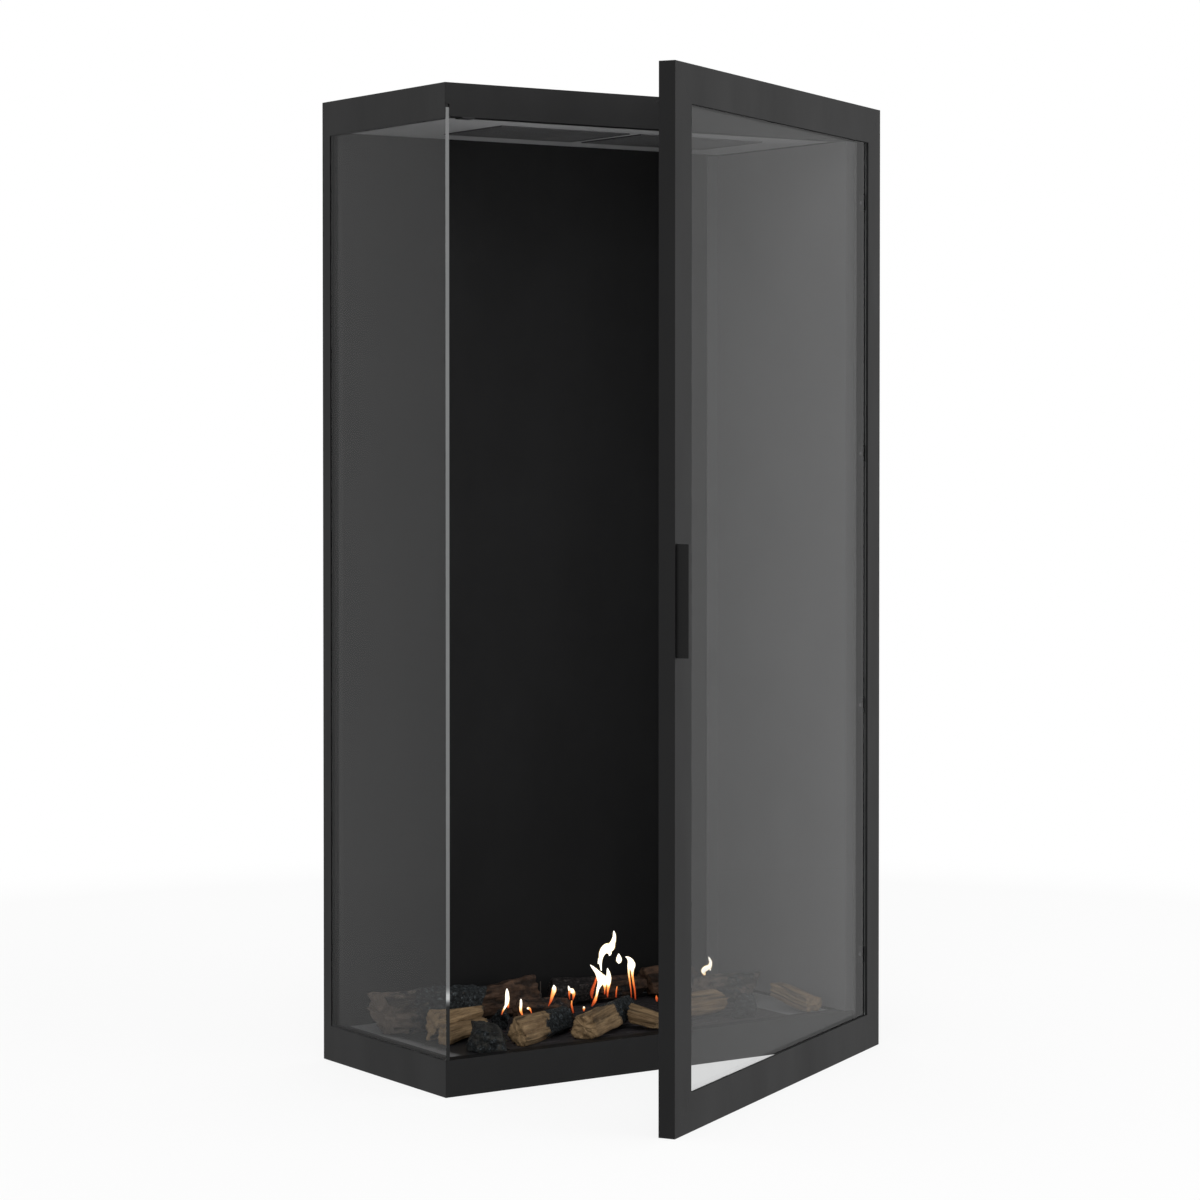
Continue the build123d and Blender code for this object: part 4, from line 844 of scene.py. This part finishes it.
def makeScrews():
    group = screwGroup()
    look = roofScrews
    places = []
    for k in range(look["count"]):
        angle = 2 * math.pi * (k + 0.5) / look["count"]
        point = Vector((look["middle"][0] + look["ring"] * math.cos(angle),
                        look["middle"][1] + look["ring"] * math.sin(angle), look["level"]))
        places.append((point, Vector((0, 0, 1))))
    growPiece("roofScrews", group, screwPoints("roofScrewPoints", places), {
        "Head Radius": look["radius"], "Head Height": look["height"], "Recess": look["recess"], "Seed": 3,
        "Material": screwPaint}, "cabinet")
    look = clipScrews
    places = []
    for level in look["levels"]:
        places.append((onDoor(look["left"], look["across"], level), doorAlong))
        places.append((onDoor(look["right"], look["across"], level), -doorAlong))
    for place in look["places"]:
        places.append((onDoor(place, look["across"], look["low"]), Vector((0, 0, 1))))
        places.append((onDoor(place, look["across"], look["high"]), Vector((0, 0, -1))))
    growPiece("clipScrews", group, screwPoints("clipScrewPoints", places), {
        "Head Radius": look["radius"], "Head Height": look["height"], "Recess": look["recess"], "Seed": 5,
        "Material": screwPaint}, "door")


ropePaint = fibreBoard("gasketRope", (0.02, 0.02, 0.021))
screwPaint = bareMetal("screwSteel", (0.12, 0.12, 0.125), 0.35)
makeDoorRope()
makeScrews()
print("rope and screws grown")


# paper is how white the floor's picture is close by; it fades to plain white between two distances
studio = dict(floorSize=16.0, floorBelow=0.0005, floorColour=(0.9, 0.9, 0.9), fadeFrom=0.5, fadeTo=2.0, paper=0.85,
              ambient=0.8, white=1.0, aim=(0, 0, 0.6))


def raysThatSee(tree):
    # the floor and the backdrop are white for what looks at them, and plain for what they light
    rays = addNode(tree, "LightPath").outputs
    mirrored = sums(tree, "MAXIMUM", rays["Is Camera Ray"], rays["Is Glossy Ray"])
    return sums(tree, "MAXIMUM", mirrored, rays["Is Transmission Ray"])


def makeFloor():
    mesh = bpy.data.meshes.new("studioFloor")
    half = studio["floorSize"] / 2
    level = cadBox[0].z - studio["floorBelow"]
    mesh.from_pydata([(-half, -half, level), (half, -half, level), (half, half, level), (-half, half, level)], [],
                     [(0, 1, 2, 3)])
    floor = bpy.data.objects.new("studioFloor", mesh)
    bpy.context.scene.collection.objects.link(floor)
    material, tree, shader = newMaterial("studioPaper")
    coords = objectCoords(tree)
    shader.inputs["Base Color"].default_value = (*studio["floorColour"], 1)
    shader.inputs["Roughness"].default_value = 0.9
    shader.inputs["Specular IOR Level"].default_value = 0.0
    away = addNode(tree, "VectorMath", {0: coords}, operation="LENGTH").outputs["Value"]
    fade = addNode(tree, "MapRange", {0: away, 1: studio["fadeFrom"], 2: studio["fadeTo"]},
                   interpolation_type="SMOOTHSTEP").outputs[0]
    seen = raysThatSee(tree)
    blank = addNode(tree, "Emission", {"Color": (1, 1, 1, 1), "Strength": studio["white"]})
    share = sums(tree, "MULTIPLY", sums(tree, "MAXIMUM", fade, studio["paper"]), seen)
    mixed = addNode(tree, "MixShader", {0: share, 1: shader.outputs[0], 2: blank.outputs[0]})
    tree.links.new(mixed.outputs[0], tree.nodes["Material Output"].inputs["Surface"])
    mesh.materials.append(material)


def makeWorld():
    world = bpy.data.worlds.new("studioWorld")
    bpy.context.scene.world = world
    world.use_nodes = True
    tree = world.node_tree
    tree.nodes.clear()
    seen = raysThatSee(tree)
    soft = addNode(tree, "Background", {"Color": (1, 1, 1, 1), "Strength": studio["ambient"]})
    blank = addNode(tree, "Background", {"Color": (1, 1, 1, 1), "Strength": studio["white"]})
    mixed = addNode(tree, "MixShader", {0: seen, 1: soft.outputs[0], 2: blank.outputs[0]})
    output = addNode(tree, "OutputWorld")
    tree.links.new(mixed.outputs[0], output.inputs["Surface"])


lamps = {
    "keyLamp": dict(place=(-2.2, -2.6, 2.6), size=2.2, watts=34, mirrored=False),
    "fillLamp": dict(place=(2.0, -2.9, 1.0), size=2.6, watts=44, mirrored=True),
}


def makeLamps():
    for name, lamp in lamps.items():
        data = bpy.data.lights.new(name, "AREA")
        data.shape = "DISK"
        data.size = lamp["size"]
        data.energy = lamp["watts"]
        light = bpy.data.objects.new(name, data)
        light.location = lamp["place"]
        light.rotation_euler = (Vector(studio["aim"]) - light.location).to_track_quat("-Z", "Y").to_euler()
        light.visible_camera = False
        light.visible_glossy = lamp["mirrored"]
        bpy.context.scene.collection.objects.link(light)


cameraSetting = dict(place=(-2.3244, -3.4445, 0.7874), lens=98.06, sensor=36, turn=34.007, tilt=1.069, shift=-0.0887)


def makeCamera():
    data = bpy.data.cameras.new("photoCamera")
    data.lens = cameraSetting["lens"]
    data.sensor_width = cameraSetting["sensor"]
    data.shift_y = cameraSetting["shift"]
    camera = bpy.data.objects.new("photoCamera", data)
    camera.location = cameraSetting["place"]
    camera.rotation_euler = (math.radians(90 - cameraSetting["tilt"]), 0, -math.radians(cameraSetting["turn"]))
    bpy.context.scene.collection.objects.link(camera)
    bpy.context.scene.camera = camera


makeFloor()
makeWorld()
makeLamps()
makeCamera()
bpy.context.scene.view_settings.view_transform = "Standard"
print("studio and camera ready")
